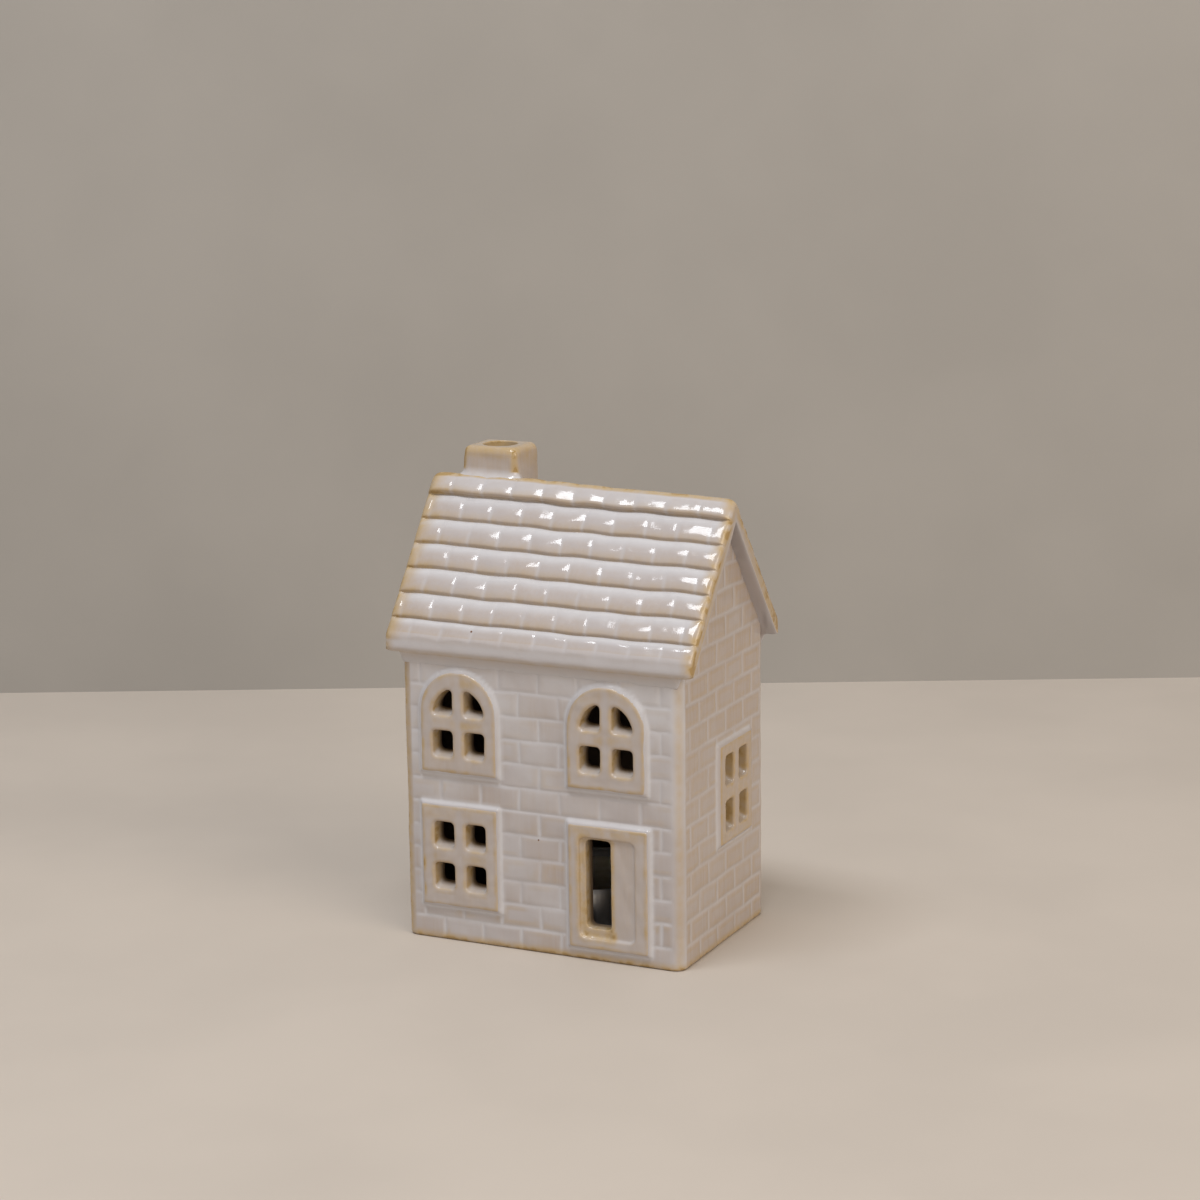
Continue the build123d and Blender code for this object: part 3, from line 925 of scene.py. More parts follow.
def front_section(clay):
    """The front half of the roof's section, from inside the wall over the eave to the ridge.

    Each row is: y, z, outward y, outward z, number of the course, share down the course, pool,
    bare and how far it lies under the line of noses.
    """
    pitch, step, courses = clay["roof_pitch"], clay["course_step"], clay["courses"]
    peak, ridge_centre = roof_lines(clay)[1:]
    reach = -ROOF_LOW[1]
    length = reach / cos(pitch)
    course = length / (courses - 1 + EAVE_SHARE)
    rows = []

    def add_row(spot, outward, number, share, pool, bare, under=0.0):
        rows.append((*spot, *outward, number, share, pool, bare, under))

    def add_slope(down, under, number, share, pool, bare):
        y = under * sin(pitch) - down * cos(pitch)
        z = peak - down * sin(pitch) - under * cos(pitch)
        add_row((y, z), (-sin(pitch), cos(pitch)), number, share, pool, bare, under)

    # The lip turns under and runs into the wall in one soft S. Its underside and the top of the
    # cove are painted browner: thin glaze on the round, and painted shade under the eave
    centre = np.array((LIP_ROUND - reach, EAVE + LIP_ROUND))
    foot = centre + LIP_ROUND * heading(radians(235))
    knee = np.array((-HALF_DEPTH, foot[1] + (foot[0] + HALF_DEPTH) * tan(radians(35))))
    start = np.array((-HALF_DEPTH, EAVE - 2.4))
    add_row(start + (0.5, -0.3), (0.0, -1.0), COVE, 0.0, 0.8, 0.0)
    for share in (0.0, 0.17, 0.34, 0.5, 0.67, 0.84):
        curve = (1 - share) ** 2 * start + 2 * share * (1 - share) * knee + share**2 * foot
        lean = share * radians(55)
        add_row(curve, (-cos(lean), -sin(lean)), COVE, share, 0.7 - 0.5 * share, 0.25 * share)
    for n in range(6):
        outward = heading(radians(235 - 11 * n))
        add_row(centre + LIP_ROUND * outward, outward, LIP, 0.0, 0.3, 0.45 * (1 - n / 5))
    # The brow over it rounds up into the short course
    tangent = BROW_ROUND * tan((pi / 2 - pitch) / 2)
    brow_low = peak - length * sin(pitch) - tangent
    for share in (0.3, 0.65):
        z = EAVE + LIP_ROUND + share * (brow_low - EAVE - LIP_ROUND)
        add_row((-reach, z), (-1.0, 0.0), LIP, 1.0, 0.55, 0.0)
    centre = np.array((BROW_ROUND - reach, brow_low))
    for n in range(6):
        outward = heading(pi - (pi / 2 - pitch) * n / 5)
        add_row(centre + BROW_ROUND * outward, outward, courses - 1, 1.0, 0.45 - 0.06 * n, 0.0)
    # Each course swells to a nose over the next; glaze pools at its head and thins on its nose
    for number in range(courses - 1, -1, -1):
        last = number == courses - 1
        head = number * course
        nose = length if last else head + course
        if not last:
            sunk = 0.12 * step if number else ridge_under(nose - NOSE_ROUND, pitch)
            add_slope(nose + 0.14, 0.92 * step, number, 1.0, 0.1, 0.4)
            add_slope(nose + 0.02, 0.74 * step, number, 1.0, 0.0, 0.42)
            for turn in np.radians((5, 25, 45, 66, 90)):
                down = nose - NOSE_ROUND * (1 - cos(turn))
                under = sunk + NOSE_ROUND * (1 - sin(turn))
                add_slope(down, under, number, 1.0, 0.0, 0.26 + 0.16 * cos(turn))
        for share in COURSE_ROWS:
            down = head + share * (nose - head)
            # The brow takes the place of the lowest rows, and the ridge's round of the highest
            if down > length - tangent or number == 0 and down < 2.5:
                continue
            under = course_under(share, step, last) if number else ridge_under(down, pitch)
            pool = 0.95 * float(1 - smooth((share - 0.12) / 0.5)) if number else 0.4
            bare = 0.26 * float(smooth((share - 0.62) / 0.35))
            if number and share == 0.0:
                down, under, pool, bare = down + 0.36, 0.95 * step, 0.4, 0.2
            add_slope(down, under, number, share, pool, bare)
    for n in range(6):
        turn = (pitch - RIDGE_LEAN) * (1 - n / 6)
        outward = np.array((-sin(turn), cos(turn)))
        ridge = (0.0, ridge_centre) + RIDGE_ROUND * outward
        add_row(ridge, outward, 0, 0.0, 0.0, 0.85 * cos(turn) ** 1.2)
    return np.array(rows)


def roof_section(clay):
    """The whole section: both slopes, the ridge between them and the underside."""
    pitch = clay["roof_pitch"]
    underside, _, ridge_centre = roof_lines(clay)
    front = front_section(clay)
    rear = front[::-1] * (-1, 1, -1, 1, 1, 1, 1, 1, 1)
    apex = [(0, ridge_centre + RIDGE_ROUND, 0, 1, 0, 0, 0, 0.85, 0)]
    soffit = [
        (y, underside - abs(y) * tan(pitch), 0, -1, SOFFIT, 0, 0, 0, 0)
        for y in np.array((1, 0.5, 0, -0.5, -1)) * HALF_DEPTH - (0.3, 0, 0, 0, -0.3)
    ]
    return np.concatenate([front, apex, rear, soffit])


def build_roof():
    """Both slopes of the roof, swept along the ridge, with the tiles' upright joints."""
    clay = sizes()
    pitch, tile = clay["roof_pitch"], clay["tile_width"]
    section = roof_section(clay)
    half = ROOF_HIGH[0]
    even = half - VERGE_ROUND
    centres = [FIRST_JOINT - half + n * tile / 2 for n in range(int(4 * half / tile) + 1)]
    lines = grid_lines(centres, JOINT_HALF, -even, even, 0.8)
    # The verges are rounded: their columns lie further out and their skin is drawn in
    turns = np.radians(np.arange(15, 91, 15))
    out, drawn = VERGE_ROUND * np.sin(turns), VERGE_ROUND * (1 - np.cos(turns))
    x = np.concatenate([-even - out[::-1], lines, even + out])[:, None]
    inset = np.concatenate([drawn[::-1], np.zeros(len(lines)), drawn])[:, None]
    y, z, ny, nz, number, share, pool, bare, under = section.T[:, None, :]
    shape = (len(x), len(section))
    tiled, ridge, skin, cove = number >= 0, number == 0, number != SOFFIT, number == COVE
    # Each course's joints lie half a tile beside the next course's
    start = FIRST_JOINT - half + np.where(number % 2 == 1, 0, tile / 2)
    slot = np.floor((x - start) / tile)
    inside = x - start - slot * tile
    reach_in = smooth((half - np.abs(x)) / 2.0)
    top_fade = np.where(ridge, smooth((np.abs(y) - 1.2) / 1.2), smooth(share / 0.3))
    joint = swell(np.minimum(inside, tile - inside), JOINT_HALF) * tiled * top_fade * reach_in
    joint = joint * smooth((z - EAVE - 3.4) / 1.2)
    # Each tile swells in the middle, tilts a little and stands a little high or low
    flank = np.where(y > 0, 7, 0)
    lean = (inside / tile - 0.5) * 2
    luck = chance(slot, number, flank)
    tilt = 0.07 * (chance(slot, number, flank + 3) - 0.5) * lean * tiled
    crown = clay["tile_crown"] * (1 - lean**2) * tiled
    crown = crown * np.where(ridge, 1.7, 1.0) * (1.2 - 0.9 * smooth((x + 12) / 42))
    settle = np.where(ridge, 1.0, smooth(share / 0.25))
    places = np.zeros((*shape, 3))
    for n, values in enumerate((x, y, z)):
        places[..., n] = values
    # Past the gables there is no wall to run into, so the cove closes up to the underside
    free = cove * smooth((np.abs(x) - HALF_WIDTH + 1.2) / 1.8)
    places[..., 1] += free * (np.sign(y) * (HALF_DEPTH - 0.15 + 1.1 * share) - y)
    places[..., 2] += free * (EAVE + 0.42 - 0.05 * share - z)
    ny, nz = ny * (1 - free), nz * (1 - free) - free
    relief = (crown + tilt + 0.06 * (luck - 0.5) * tiled) * reach_in * settle - 0.03 * joint
    calm = np.where(ridge & (share == 0.0), 0.5, 1.0)
    relief += skin * calm * (0.05 * ripple(places, 9.0, 11) + 0.012 * ripple(places, 3.6, 12))
    # Fine drags run along the courses
    relief += 0.018 * tiled * ripple(places * (0.14, 1.0, 1.0), 3.0, 15) * settle
    # The courses are pinched flat along the verges
    pinch = smooth(1.15 - (half - np.abs(x)) / 1.9) * (number > SOFFIT)
    relief += 0.75 * pinch * (under - 0.35 * clay["course_step"])
    relief -= inset * np.where(cove | ~skin, 0.4, 1.0)
    # The joints and the noses wander
    slide = 0.2 * ripple(places, 16.0, 13) * reach_in * tiled
    sway = 0.16 * ripple(places * (1.0, 0.25, 0.25), 15.0, 14) * tiled
    sway = sway * np.where(ridge, smooth((share - 0.3) / 0.5), 1.0)
    places[..., 0] += slide
    places[..., 1] += ny * relief + sway * np.where(y > 0, 1, -1) * cos(pitch)
    places[..., 2] += nz * relief - sway * sin(pitch) + bow(x, z)
    places[..., :2] = np.clip(places[..., :2], ROOF_LOW[:2], -ROOF_LOW[:2])
    # Glaze is thin along the verges. The left is painted browner and warmer still: thin glaze, and
    # a painted reflection of the dark room on the left verge's round
    verge = np.clip(1 - (half - np.abs(x)) / 3.4, 0, 1) ** 1.3
    verge = verge * np.clip(0.78 + 0.3 * ripple(places, 3.2, 16), 0, 1)
    verge = np.maximum(1.1 * verge, 0.8 * smooth(1 - (half + x) / 6.0) * tiled)
    left = 1 + 1.1 * smooth((14.0 - np.abs(x + half)) / 14.0) * tiled
    warm = 0.3 * (luck - 0.45) + 0.3 * smooth((share - 0.25) / 0.3) * (1 - 0.7 * joint)
    masks = {
        "pool": np.maximum(pool * (1 - 0.8 * verge), 0.3 * joint),
        "bare": np.clip(np.maximum(bare * (1 - 0.5 * joint) * left, verge * skin), 0, 1.1),
        "tint": tiled * (warm + 0.5 * smooth(1 - (half + x) / 14.0)),
        # The underside inside the house takes the darkened bare clay, which paints its shade
        "deep": ~skin * smooth((HALF_WIDTH - 1.0 - np.abs(x)) / 2.0),
    }
    piece = make_piece("tiled_roof", places.reshape(-1, 3), tube_faces(*shape), masks)
    low, high = box("chimney")
    cut_piece(piece, make_cylinder((low[:2] + high[:2]) / 2, FLUE_CUT, 80.0, 130.0), "DIFFERENCE")
    return piece


def make_cylinder(centre, radius, low, high, steps=48):
    """A plain cylinder to cut with."""
    ring = [centre + radius * heading(2 * pi * n / steps) for n in range(steps)]
    points = [(*corner, height) for height in (low, high) for corner in ring]
    return make_piece("cutter", points, tube_faces(2, steps))


class HOUSE_OT_roof(bpy.types.Operator):
    """Build both slopes of the tiled roof"""

    bl_idname = "tealight_house.roof"
    bl_label = "Roof"

    def execute(self, context):
        place_clay(build_roof(), "front_roof_slope", "rear_roof_slope")
        return {"FINISHED"}


# Chimney


def roof_surface(clay, x, y):
    """Height of the tiled surface over a place on the plan."""
    peak, ridge_centre = roof_lines(clay)[1:]
    pitch = clay["roof_pitch"]
    depth = np.abs(y)
    sunk = 0.65 * smooth((depth - 5.8) / 1.2) - 0.2 * smooth((depth - 1.5) / 1.5)
    slope = peak - depth * tan(pitch) - sunk / cos(pitch)
    arc = ridge_centre + np.sqrt(np.maximum(RIDGE_ROUND**2 - depth**2, 0))
    even = np.where(depth < RIDGE_ROUND * sin(pitch), arc, slope)
    return even + bow(x, even)


def rounded_ring(low, high, corner, count):
    """Places and outward directions round a rounded rectangle, seen from above."""
    centre, straight = (low + high) / 2, (high - low) / 2 - corner
    signs = np.array(((1, 1), (-1, 1), (-1, -1), (1, -1)))
    places, outward = [], []
    for quarter in range(4):
        for n in range(count):
            outward.append(heading((quarter + n / (count - 1)) * pi / 2))
            places.append(centre + signs[quarter] * straight + corner * outward[-1])
        start = places[-1]
        end = centre + signs[(quarter + 1) % 4] * straight + corner * outward[-1]
        places += [start + share * (end - start) for share in np.arange(1, 10) / 10]
        outward += [outward[-1]] * 9
    return np.array(places), np.array(outward)


def build_chimney():
    """The stack: a coved foot on the tiles, soft corners, and a round flue through the slab."""
    clay = sizes()
    low, high = box("chimney")
    ring, outward = rounded_ring(low[:2], high[:2], 2.0, 9)
    around = len(ring)
    centre = (low[:2] + high[:2]) / 2
    cove, top, top_round, flue_lip = clay["chimney_fillet"], high[2], 1.9, 0.35
    rings, pool, bare = [], [], []

    def add(plan, height, white, brown):
        rings.append(np.column_stack([plan, np.full(around, height)]))
        pool.append(np.full(around, white))
        bare.append(np.full(around, brown))

    def add_foot(offset, lift, white):
        plan = ring + outward * offset
        add(plan, roof_surface(clay, *plan.T) + lift, white, 0.0)

    add_foot(cove + 0.6, -1.6, 0.6)
    for n in range(7):
        turn = n * pi / 12
        add_foot(cove * (1 - sin(turn)) + 0.3, cove * (1 - cos(turn)) - 0.15, 1.0 - 0.1 * n)
    foot = rings[-1][:, 2]
    shoulder = top - top_round
    for share in np.arange(1, 12) / 12:
        height = foot + share * (shoulder - foot)
        brown = 0.1 + 0.4 * smooth((share - 0.6) / 0.4)
        add(ring + outward * 0.3 * (1 - share), height, 0.25 * (1 - share), brown)
    for turn in np.arange(7) * pi / 12:
        plan = ring - outward * top_round * (1 - cos(turn))
        add(plan, shoulder + top_round * sin(turn), 0.0, 0.4 + 0.3 * sin(2 * turn))
    edge = rings[-1][:, :2]
    round_way = edge - centre
    round_way /= np.linalg.norm(round_way, axis=1)[:, None]
    for share in (0.4, 0.75, 1.0):
        plan = edge + share * (centre + round_way * (FLUE_RADIUS + flue_lip) - edge)
        add(plan, top, 0.3, 0.4)
    for turn in np.arange(1, 6) * pi / 10:
        plan = centre + round_way * (FLUE_RADIUS + flue_lip * (1 - sin(turn)))
        add(plan, top - flue_lip * (1 - cos(turn)), 0.0, 0.8)
    bore = centre + round_way * FLUE_RADIUS
    below = roof_lines(clay)[0] - np.abs(bore[:, 1]) * tan(clay["roof_pitch"]) + 0.02
    for share in (0.12, 0.4, 0.7, 1.0):
        add(bore, top - flue_lip + share * (below - top + flue_lip), 0.0, 0.45)
    count = len(rings)
    points = np.concatenate(rings)
    body = np.arange(count).repeat(around)
    wave = 0.10 * ripple(points, 8.0, 21) + 0.04 * ripple(points, 3.5, 22)
    points[:, :2] += np.tile(outward, (count, 1)) * (wave * (body > 1) * (body < 25))[:, None]
    # Thin glaze also runs down the four upright edges, and the front face is painted a little
    # darker, as painted shade
    turn = np.arctan2(np.abs(outward[:, 1]), np.abs(outward[:, 0]))
    upright = swell(turn - pi / 4, pi / 3.6) * (turn > 0.01) * (turn < pi / 2 - 0.01)
    upright = 1.15 * np.tile(upright, count) * (body > 6) * (body < 22)
    front = np.tile(outward[:, 1] < -0.7, count) * (body > 8) * (body < 20)
    masks = {
        "pool": np.concatenate(pool),
        "bare": np.maximum(np.concatenate(bare), upright),
        "tint": 1.3 + 0.2 * np.tile(outward[:, 0] > 0.7, count),
        # Inside the flue and on the front face the darkened clay paints shade
        "deep": np.maximum(np.clip((body - 35.5) / 3, 0, 1), 0.18 * front),
    }
    return make_piece("chimney_stack", points, tube_faces(count, around, closed=True), masks)


class HOUSE_OT_chimney(bpy.types.Operator):
    """Build the chimney with its flue"""

    bl_idname = "tealight_house.chimney"
    bl_label = "Chimney"

    def execute(self, context):
        place_clay(build_chimney(), "chimney")
        return {"FINISHED"}


# Windows and door


def copy_node(node):
    """A working copy of a CAD node's mesh."""
    return link_object(node + "_copy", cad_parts[node].data.copy())


def plate_outline(plate, inset):
    """The plate's outline on its wall, so far inside its edge."""
    half = plate["width"] / 2 - inset
    low, high = plate["sill"] + inset, plate["sill"] + plate["height"] - inset
    if not plate["arched"]:
        return [(-half, low), (half, low), (half, high), (-half, high)]
    spring = high - half
    arch = [(half * cos(n * pi / 32), spring + half * sin(n * pi / 32)) for n in range(33)]
    return [(-half, low), (half, low)] + arch


def wall_plug(plate):
    """The block of wall behind a plate, with its lights."""
    in_front = plate["side"] == 0
    outline = plate_outline(plate, 0.5)
    sign, face = (-1, HALF_DEPTH) if in_front else (1, HALF_WIDTH)
    points = []
    for depth in (sign * (face + 0.5), sign * (face - WALL - 1)):
        for along, height in outline:
            along += plate["middle"]
            points.append((along, depth, height) if in_front else (depth, along, height))
    block = make_piece("block", points, tube_faces(2, len(outline)))
    plug = copy_node("front_wall" if in_front else "right_gable_wall")
    plug.modifiers.new("weld", "WELD").merge_threshold = 0.001 * MM
    cut_piece(plug, block, "INTERSECT")
    return plug


def join_meshes(name, parts):
    """One mesh piece from several, which are removed."""
    work = bmesh.new()
    for part in parts:
        work.from_mesh(part.data)
        bpy.data.objects.remove(part)
    mesh = bpy.data.meshes.new(name)
    work.to_mesh(mesh)
    work.free()
    return link_object(name, mesh)


def soften(piece, grain, rounds):
    """Melds a piece's solids into one skin and lets its edges slump as glaze does."""
    melt = piece.modifiers.new("melt", "REMESH")
    melt.mode, melt.voxel_size = "VOXEL", grain * MM
    apply_modifiers(piece)
    points = relax(piece.data, read_points(piece.data), rounds)
    # A second pass pushes out what the first drew in
    points += 0.45 * (points - relax(piece.data, points, rounds, 0.3))
    write_points(piece.data, points)
    piece.data.shade_smooth()


def light_sills(plate):
    """Heights of the sills of a window's lower and upper lights."""
    lights = LIGHTS_HEIGHT[plate["node"]]
    lower = plate["sill"] + (plate["height"] - lights) / 2
    upper = lights - LIGHTS_WIDTH / 2 if plate["arched"] else (lights + TRANSOM) / 2
    return lower, lower + upper


def fill_lights(piece, plate, points, near, proud):
    """Glaze and slip make a sloping sill in each light and fill its corners towards the back."""
    for sill in light_sills(plate):
        over = points[:, 2] - sill
        weight = np.where(over > 0, smooth(1 - over / 3.4), smooth(1 + over / 1.2))
        points[:, 2] += 0.7 * weight * smooth((1.0 - proud) / 3.4) * smooth((-near - 2.0) / 1.0)
    weight = smooth((-0.2 - proud) / 1.6) * smooth((-near - 1.4) / 0.8)
    points += weight[:, None] * (relax(piece.data, points, 36) - points)


def slot_glaze(points):
    """Round the door's slot the glaze has run off, most of all on its sill."""
    x, z = points[:, 0], points[:, 2]
    low, high = box("door_leaf")
    beyond_side = np.abs(x - low[0] + SLOT_WIDTH / 2) - SLOT_WIDTH / 2
    beyond_end = np.maximum(z - high[2] + 0.6, low[2] + 2.3 - z)
    round_slot = np.hypot(np.maximum(beyond_side, 0), np.maximum(beyond_end, 0))
    sill = swell(z - low[2] - 0.8, 3.4) * smooth(1.6 - beyond_side / 1.6)
    jamb = swell(x - low[0] - 0.5, 1.5) * smooth((z - low[2]) / 2.0)
    jamb = jamb * smooth((high[2] - z + 1.0) / 2.0)
    left = smooth((low[0] - x) / SLOT_WIDTH) * smooth((3.4 - round_slot) / 2.2)
    return np.maximum.reduce([0.8 * swell(round_slot, 2.3), 0.85 * sill, 0.72 * left, 0.8 * jamb])


def finish_plate(piece, plate, seed):
    """Hand-made unevenness, and the glaze: thin on the rims and brown to painted shade deep in the
    openings.
    """
    mesh, gable, is_door = piece.data, plate["side"] == 1, plate is DOOR
    points = read_points(mesh)
    across, sign, wall_face = (0, -1, HALF_DEPTH) if not gable else (1, 1, HALF_WIDTH)
    proud = sign * points[:, 1 - across] - wall_face
    near = outline_distance(plate, points[:, across], points[:, 2])
    wave = 0.06 * ripple(points, 7.0, seed) + 0.03 * ripple(points, 3.0, seed + 1)
    points[:, 1 - across] += sign * wave * smooth((proud + 2.5) / 2.0)
    if not is_door:
        fill_lights(piece, plate, points, near, proud)
    write_points(mesh, points)
    bare, pool = form_masks(mesh, 0.075)
    normals = read_normals(mesh)
    facing = sign * normals[:, 1 - across]
    reveal = smooth((0.75 - facing) / 0.6) * smooth((-near - 1.4) / 0.6)
    ledge = smooth(normals[:, 2] / 0.6) * smooth((proud + 3.0) / 1.6)
    rim = swell(near + 0.6, 1.1) * smooth(facing / 0.5) * (1 + 0.35 * ripple(points, 6.0, seed + 3))
    # On the gable the plate is painted browner and warmer: thinner glaze there, and painted warm
    # light like the gable's bricks
    thin = np.maximum(bare * (0.75 if gable else 0.55), 0.8 * reveal * (1 - 0.5 * ledge))
    thin = np.maximum.reduce([thin, 0.5 * rim, np.full(len(points), 0.3 if gable else 0.12)])
    # Glaze has slid off the crossbar, the head and the lip under each sill, and runs white down
    # the upright bar
    upright = swell(points[:, across] - plate["middle"], 1.6)
    share = (points[:, 2] - plate["sill"]) / plate["height"]
    if is_door:
        slid = 0.9 * smooth((share - 0.84) / 0.1)
    else:
        slid = np.maximum(swell(share - 0.49, 0.1), 0.8 * swell(share - 0.12, 0.06))
        slid = np.maximum(slid * smooth((-near - 2.4) / 1.5), 0.8 * smooth((share - 0.78) / 0.12))
    slid = slid * smooth((-near - 0.2) / 1.2) * smooth(facing / 0.5)
    slid = slid * np.clip(0.38 + 0.2 * ripple(points, 8.0, seed + 2), 0.15, 0.65)
    thin = np.maximum(thin * (1 - 0.35 * upright), slid * (1 - 0.8 * upright))
    if is_door:
        thin = np.maximum(thin, slot_glaze(points))
    crease = swell(near - 0.1, 0.7) * smooth(1 - (proud - 0.5) / 0.6)
    pool = np.maximum(0.5 * pool + 0.2 * ledge, 0.9 * crease)
    set_mask(mesh, "bare", np.clip(thin * (1 - crease), 0, 1))
    set_mask(mesh, "pool", np.clip(pool, 0, 1))
    # Warmer on the gable: painted warm light there, over the warmer glaze
    set_mask(mesh, "tint", np.full(len(points), 0.85 if gable else 0.25))
    # Deeper into the openings the darkened clay paints their shade
    set_mask(mesh, "deep", smooth((-0.9 - proud) / 2.8) * smooth((-near - 1.0) / 0.5))


def build_plate(name, plate, nodes, grain, rounds, seed):
    """A plate with the block of wall behind it: openings that taper through both."""
    piece = join_meshes(name, [*map(copy_node, nodes), wall_plug(plate)])
    soften(piece, grain, rounds)
    finish_plate(piece, plate, seed)
    place_clay(piece, *nodes)


class HOUSE_OT_windows(bpy.types.Operator):
    """Build the four window plates with their lights"""

    bl_idname = "tealight_house.windows"
    bl_label = "Windows"

    def execute(self, context):
        for number, plate in enumerate(WINDOWS):
            node = plate["node"]
            build_plate(node + "_plate", plate, (node,), 0.32, 7, 40 + 2 * number)
        return {"FINISHED"}


class HOUSE_OT_door(bpy.types.Operator):
    """Build the door's surround with its slot, and the leaf that stands ajar"""

    bl_idname = "tealight_house.door"
    bl_label = "Door"

    def execute(self, context):
        build_plate("door_ajar", DOOR, ("door_surround", "door_leaf"), 0.28, 5, 61)
        return {"FINISHED"}


# Tealight


def lathe(name, profile, steps=96):
    """A closed shape turned round the Z axis from an outline of (radius, height) points."""
    points = [
        (*radius * heading(2 * pi * n / steps), height)
        for n in range(steps)
        for radius, height in profile
    ]
    return make_piece(name, points, tube_faces(steps, len(profile), closed=True), weld=0.005)


def arc(centre, radius, start, end, count):
    """Points of an arc in the profile's plane, in degrees."""
    turns = np.radians(np.linspace(start, end, count + 1))
    return [tuple(centre + radius * heading(turn)) for turn in turns]


def build_cup():
    """The cup: thin foil with a rounded base, a raised ring under it and a rolled lip."""
    rim, _, tall = box("tealight_cup")[1]
    gauge, lip, base_round, raised = 0.25, 0.35, 1.4, 0.35
    side = rim - lip
    base = side - tall * tan(radians(1.2))
    heel = (base - base_round, base_round)
    outside = [(0.0, raised), (9.0, raised), (10.0, 0.0)]
    outside += arc(heel, base_round, 270, 358, 8)
    outside += [
        (base + (side - base) * share, base_round + (tall - 2.2) * share)
        for share in (0.3, 0.6, 0.9)
    ]
    outside += arc((side, tall - lip), lip, 250, -20, 12)[1:-1]
    inside = [(side - gauge * 1.6, tall - lip * 1.6)]
    inside += [
        (base - gauge + (side - base) * share, base_round + (tall - 2.4) * share)
        for share in (0.8, 0.4)
    ]
    inside += arc(heel, base_round - gauge, -2, -90, 6)
    inside += [(10.1, gauge), (9.1, raised + gauge), (0.0, raised + gauge)]
    return lathe("foil_cup", outside + inside)


def build_wax():
    """The wax, drawn up where it wets the cup and the wick."""
    edge = box("tealight_wax")[1][0]
    level = 12.0
    under = [(0.0, 0.62), (9.0, 0.62), (edge - 2.6, 0.3), (edge - 1.1, 1.2), (edge - 0.2, 10.0)]
    skin = [
        (edge - back, level + rise)
        for back, rise in ((0.0, 0.55), (0.35, 0.24), (0.8, 0.08), (1.6, -0.02), (6.0, -0.12))
    ]
    skin += [
        (radius, level + rise)
        for radius, rise in ((5.0, -0.2), (2.2, -0.12), (1.2, 0.05), (0.85, 0.3), (0.0, 0.3))
    ]
    return lathe("poured_wax", under + skin)


def build_wick():
    """The wick: three strands braided round each other, a little thinner at the tip."""
    low, high = box("wick")
    strand_radius, strand_offset, turns = 0.34, 0.27, 6.5
    rings, around = 70, 12
    points, faces = [], []
    for strand in range(3):
        faces += [tuple(len(points) + n for n in face) for face in tube_faces(rings, around)]
        for share in np.linspace(0, 1, rings):
            centre = strand_offset * heading(2 * pi * (share * turns + strand / 3))
            radius = strand_radius * (1 - 0.25 * smooth((share - 0.94) / 0.06))
            height = low[2] + share * (high[2] - low[2])
            for k in range(around):
                points.append((*centre + radius * heading(2 * pi * k / around), height))
    return make_piece("braided_wick", points, faces)


class HOUSE_OT_tealight(bpy.types.Operator):
    """Build the tealight that stands under the house"""

    bl_idname = "tealight_house.tealight"
    bl_label = "Tealight"

    def execute(self, context):
        place(build_cup(), "tealight", "tealight_foil", drawn_foil(), "tealight_cup")
        place(build_wax(), "tealight", "paraffin_wax", paraffin(), "tealight_wax")
        place(build_wick(), "tealight", "cotton_wick", waxed_cotton(), "wick")
        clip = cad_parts["wick_clip"]
        clip.data.materials.clear()
        clip.data.materials.append(tinned_sheet())
        return {"FINISHED"}


# Stage

# The photograph's camera, as the house's corners fix it
CAMERA_PLACE = (0.3236, -0.6621, 0.2441)
CAMERA_TURN = radians(25.71)
CAMERA_PITCH = radians(12.09)
CAMERA_ROLL = radians(-0.75)
CAMERA_LENS = 88.47
# The stage in metres: the floor's half, the backdrop's half width, height and distance
FLOOR_HALF = 3.0
BACKDROP_HALF = 1.5
BACKDROP_HEIGHT = 1.6
BACKDROP_AWAY = 0.998
LAMPS_AIM = (0, 0, 0.07)
STUDIO_WHITE = "F4EFEA"
STUDIO_STRENGTH = 0.38


def painted_board(name, code, gloss, one_sided=False):
    """Matt paint on a plain board, faintly cloudy where the brush passed."""
    light = linear(code)
    dark = [0.93 * channel for channel in light[:3]] + [1.0]
    material, shader = cloudy_surface(
        name, light, dark, 0.09, (1, 1, 1), (gloss, gloss + 0.05), 0.0001
    )
    if one_sided:
        # Seen from behind, the backdrop lets the camera through
        tree = material.node_tree
        behind = add_node(tree, "ShaderNodeNewGeometry").outputs["Backfacing"]
        clear = add_node(tree, "ShaderNodeBsdfTransparent").outputs[0]
        mix = add_node(tree, "ShaderNodeMixShader", {0: behind, 1: shader.outputs[0], 2: clear})
        output = next(n for n in tree.nodes if n.type == "OUTPUT_MATERIAL")
        tree.links.new(mix.outputs[0], output.inputs["Surface"])
    return material


def make_sheet(name, corner, along, up, material):
    """A plain rectangle of the stage, from its middle foot, half its width and its height."""
    mesh = bpy.data.meshes.new(name)
    corners = [corner - along, corner + along, corner + along + up, corner - along + up]
    mesh.from_pydata(corners, [], [(0, 1, 2, 3)])
    mesh.materials.append(material)
    sheet = link_object(name, mesh)


def make_lamp(name, place_at, width, height, power, colour):
    """A soft rectangular lamp aimed at the house."""
    data = bpy.data.lights.new(name, "AREA")
    data.shape, data.size, data.size_y = "RECTANGLE", width, height
    data.energy, data.color = power, colour
    lamp = link_object(name, data)
    lamp.location = place_at
    lamp.rotation_mode = "QUATERNION"
    aim = Vector(LAMPS_AIM) - Vector(place_at)
    lamp.rotation_quaternion = aim.to_track_quat("-Z", "Y")


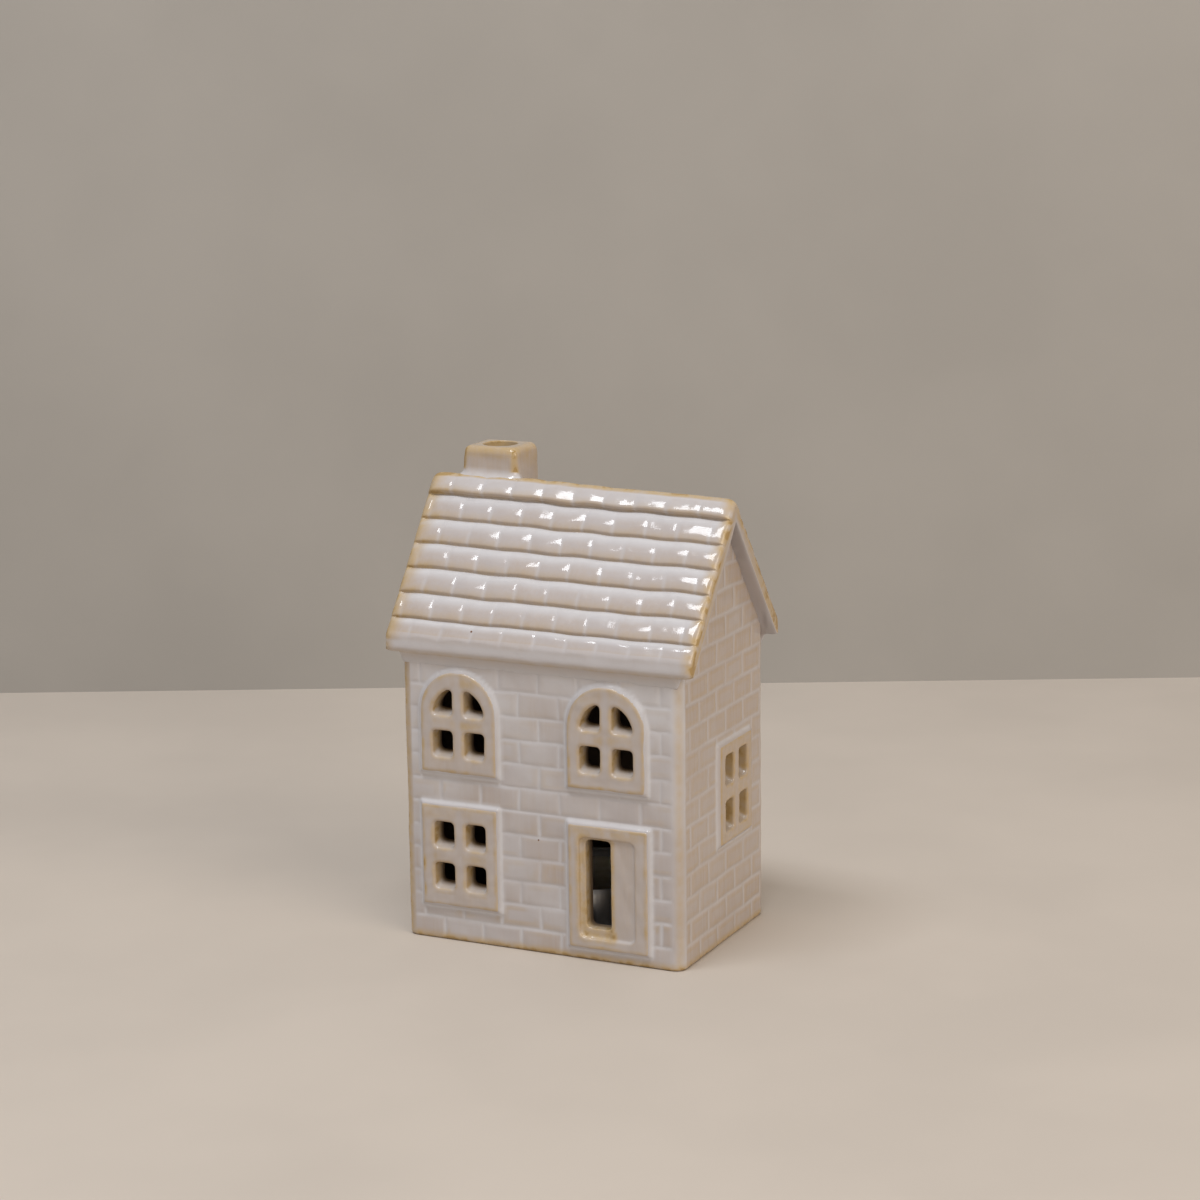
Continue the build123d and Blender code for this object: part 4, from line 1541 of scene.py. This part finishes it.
class HOUSE_OT_stage(bpy.types.Operator):
    """Build the table, the backdrop, the lamps and the camera"""

    bl_idname = "tealight_house.stage"
    bl_label = "Stage"

    def execute(self, context):
        scene = context.scene
        colours = scene.house_colours
        away = Vector((-sin(CAMERA_TURN), cos(CAMERA_TURN), 0))
        across = Vector((cos(CAMERA_TURN), sin(CAMERA_TURN), 0))
        table = painted_board("painted_table", colours.table, 0.55)
        foot, half = Vector((0, -FLOOR_HALF, 0)), Vector((FLOOR_HALF, 0, 0))
        make_sheet("floor", foot, half, Vector((0, 2 * FLOOR_HALF, 0)), table)
        wall = painted_board("painted_backdrop", colours.wall, 0.7, one_sided=True)
        foot = Vector((*CAMERA_PLACE[:2], 0)) + away * BACKDROP_AWAY
        make_sheet("backdrop", foot, across * BACKDROP_HALF, Vector((0, 0, BACKDROP_HEIGHT)), wall)
        world = bpy.data.worlds.new("studio")
        world.use_nodes = True
        background = next(n for n in world.node_tree.nodes if n.type == "BACKGROUND")
        background.inputs["Color"].default_value = linear(STUDIO_WHITE)
        background.inputs["Strength"].default_value = STUDIO_STRENGTH
        scene.world = world
        make_lamp("key_softbox", (-0.075, -0.45, 1.27), 0.75, 0.36, 9.9, (0.9, 0.95, 1.0))
        make_lamp("fill_softbox", (1.2, -0.5, 0.75), 1.0, 0.8, 8.5, (1.0, 0.9, 0.77))
        data = bpy.data.cameras.new("camera")
        data.lens, data.sensor_width = CAMERA_LENS, 36.0
        data.clip_start, data.clip_end = 0.01, 20.0
        forward = away * cos(CAMERA_PITCH) - Vector((0, 0, sin(CAMERA_PITCH)))
        upward = across.cross(forward)
        right = across * cos(CAMERA_ROLL) + upward * sin(CAMERA_ROLL)
        top = upward * cos(CAMERA_ROLL) - across * sin(CAMERA_ROLL)
        turn = Matrix((right, top, -forward)).transposed()
        camera = link_object("camera", data)
        camera.matrix_world = Matrix.Translation(CAMERA_PLACE) @ turn.to_4x4()
        scene.camera = camera
        scene.view_settings.view_transform = "Standard"
        return {"FINISHED"}


class HOUSE_PT_panel(bpy.types.Panel):
    """The house's sizes, colours and operators"""

    bl_idname = "HOUSE_PT_panel"
    bl_label = "Tealight house"
    bl_space_type = "VIEW_3D"
    bl_region_type = "UI"
    bl_category = "Tealight house"

    def draw(self, context):
        column = self.layout.column()
        for group in (context.scene.house_clay, context.scene.house_colours):
            for name in type(group).__annotations__:
                column.prop(group, name)
        for operator in OPERATORS:
            column.operator(operator.bl_idname)


OPERATORS = (
    HOUSE_OT_stage,
    HOUSE_OT_walls,
    HOUSE_OT_roof,
    HOUSE_OT_chimney,
    HOUSE_OT_windows,
    HOUSE_OT_door,
    HOUSE_OT_tealight,
)
CLASSES = (ClaySizes, GlazeColours, *OPERATORS, HOUSE_PT_panel)


def register():
    """Adds the classes and the scene's property groups."""
    for item in CLASSES:
        bpy.utils.register_class(item)
    bpy.types.Scene.house_clay = PointerProperty(type=ClaySizes)
    bpy.types.Scene.house_colours = PointerProperty(type=GlazeColours)


def unregister():
    """Removes what register added."""
    del bpy.types.Scene.house_colours
    del bpy.types.Scene.house_clay
    for item in reversed(CLASSES):
        bpy.utils.unregister_class(item)


def main():
    """Builds the house from its frame."""
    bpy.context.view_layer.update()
    register()
    for operator in OPERATORS:
        category, name = operator.bl_idname.split(".")
        getattr(getattr(bpy.ops, category), name)()
    bpy.context.view_layer.update()


if __name__ == "__main__":
    main()
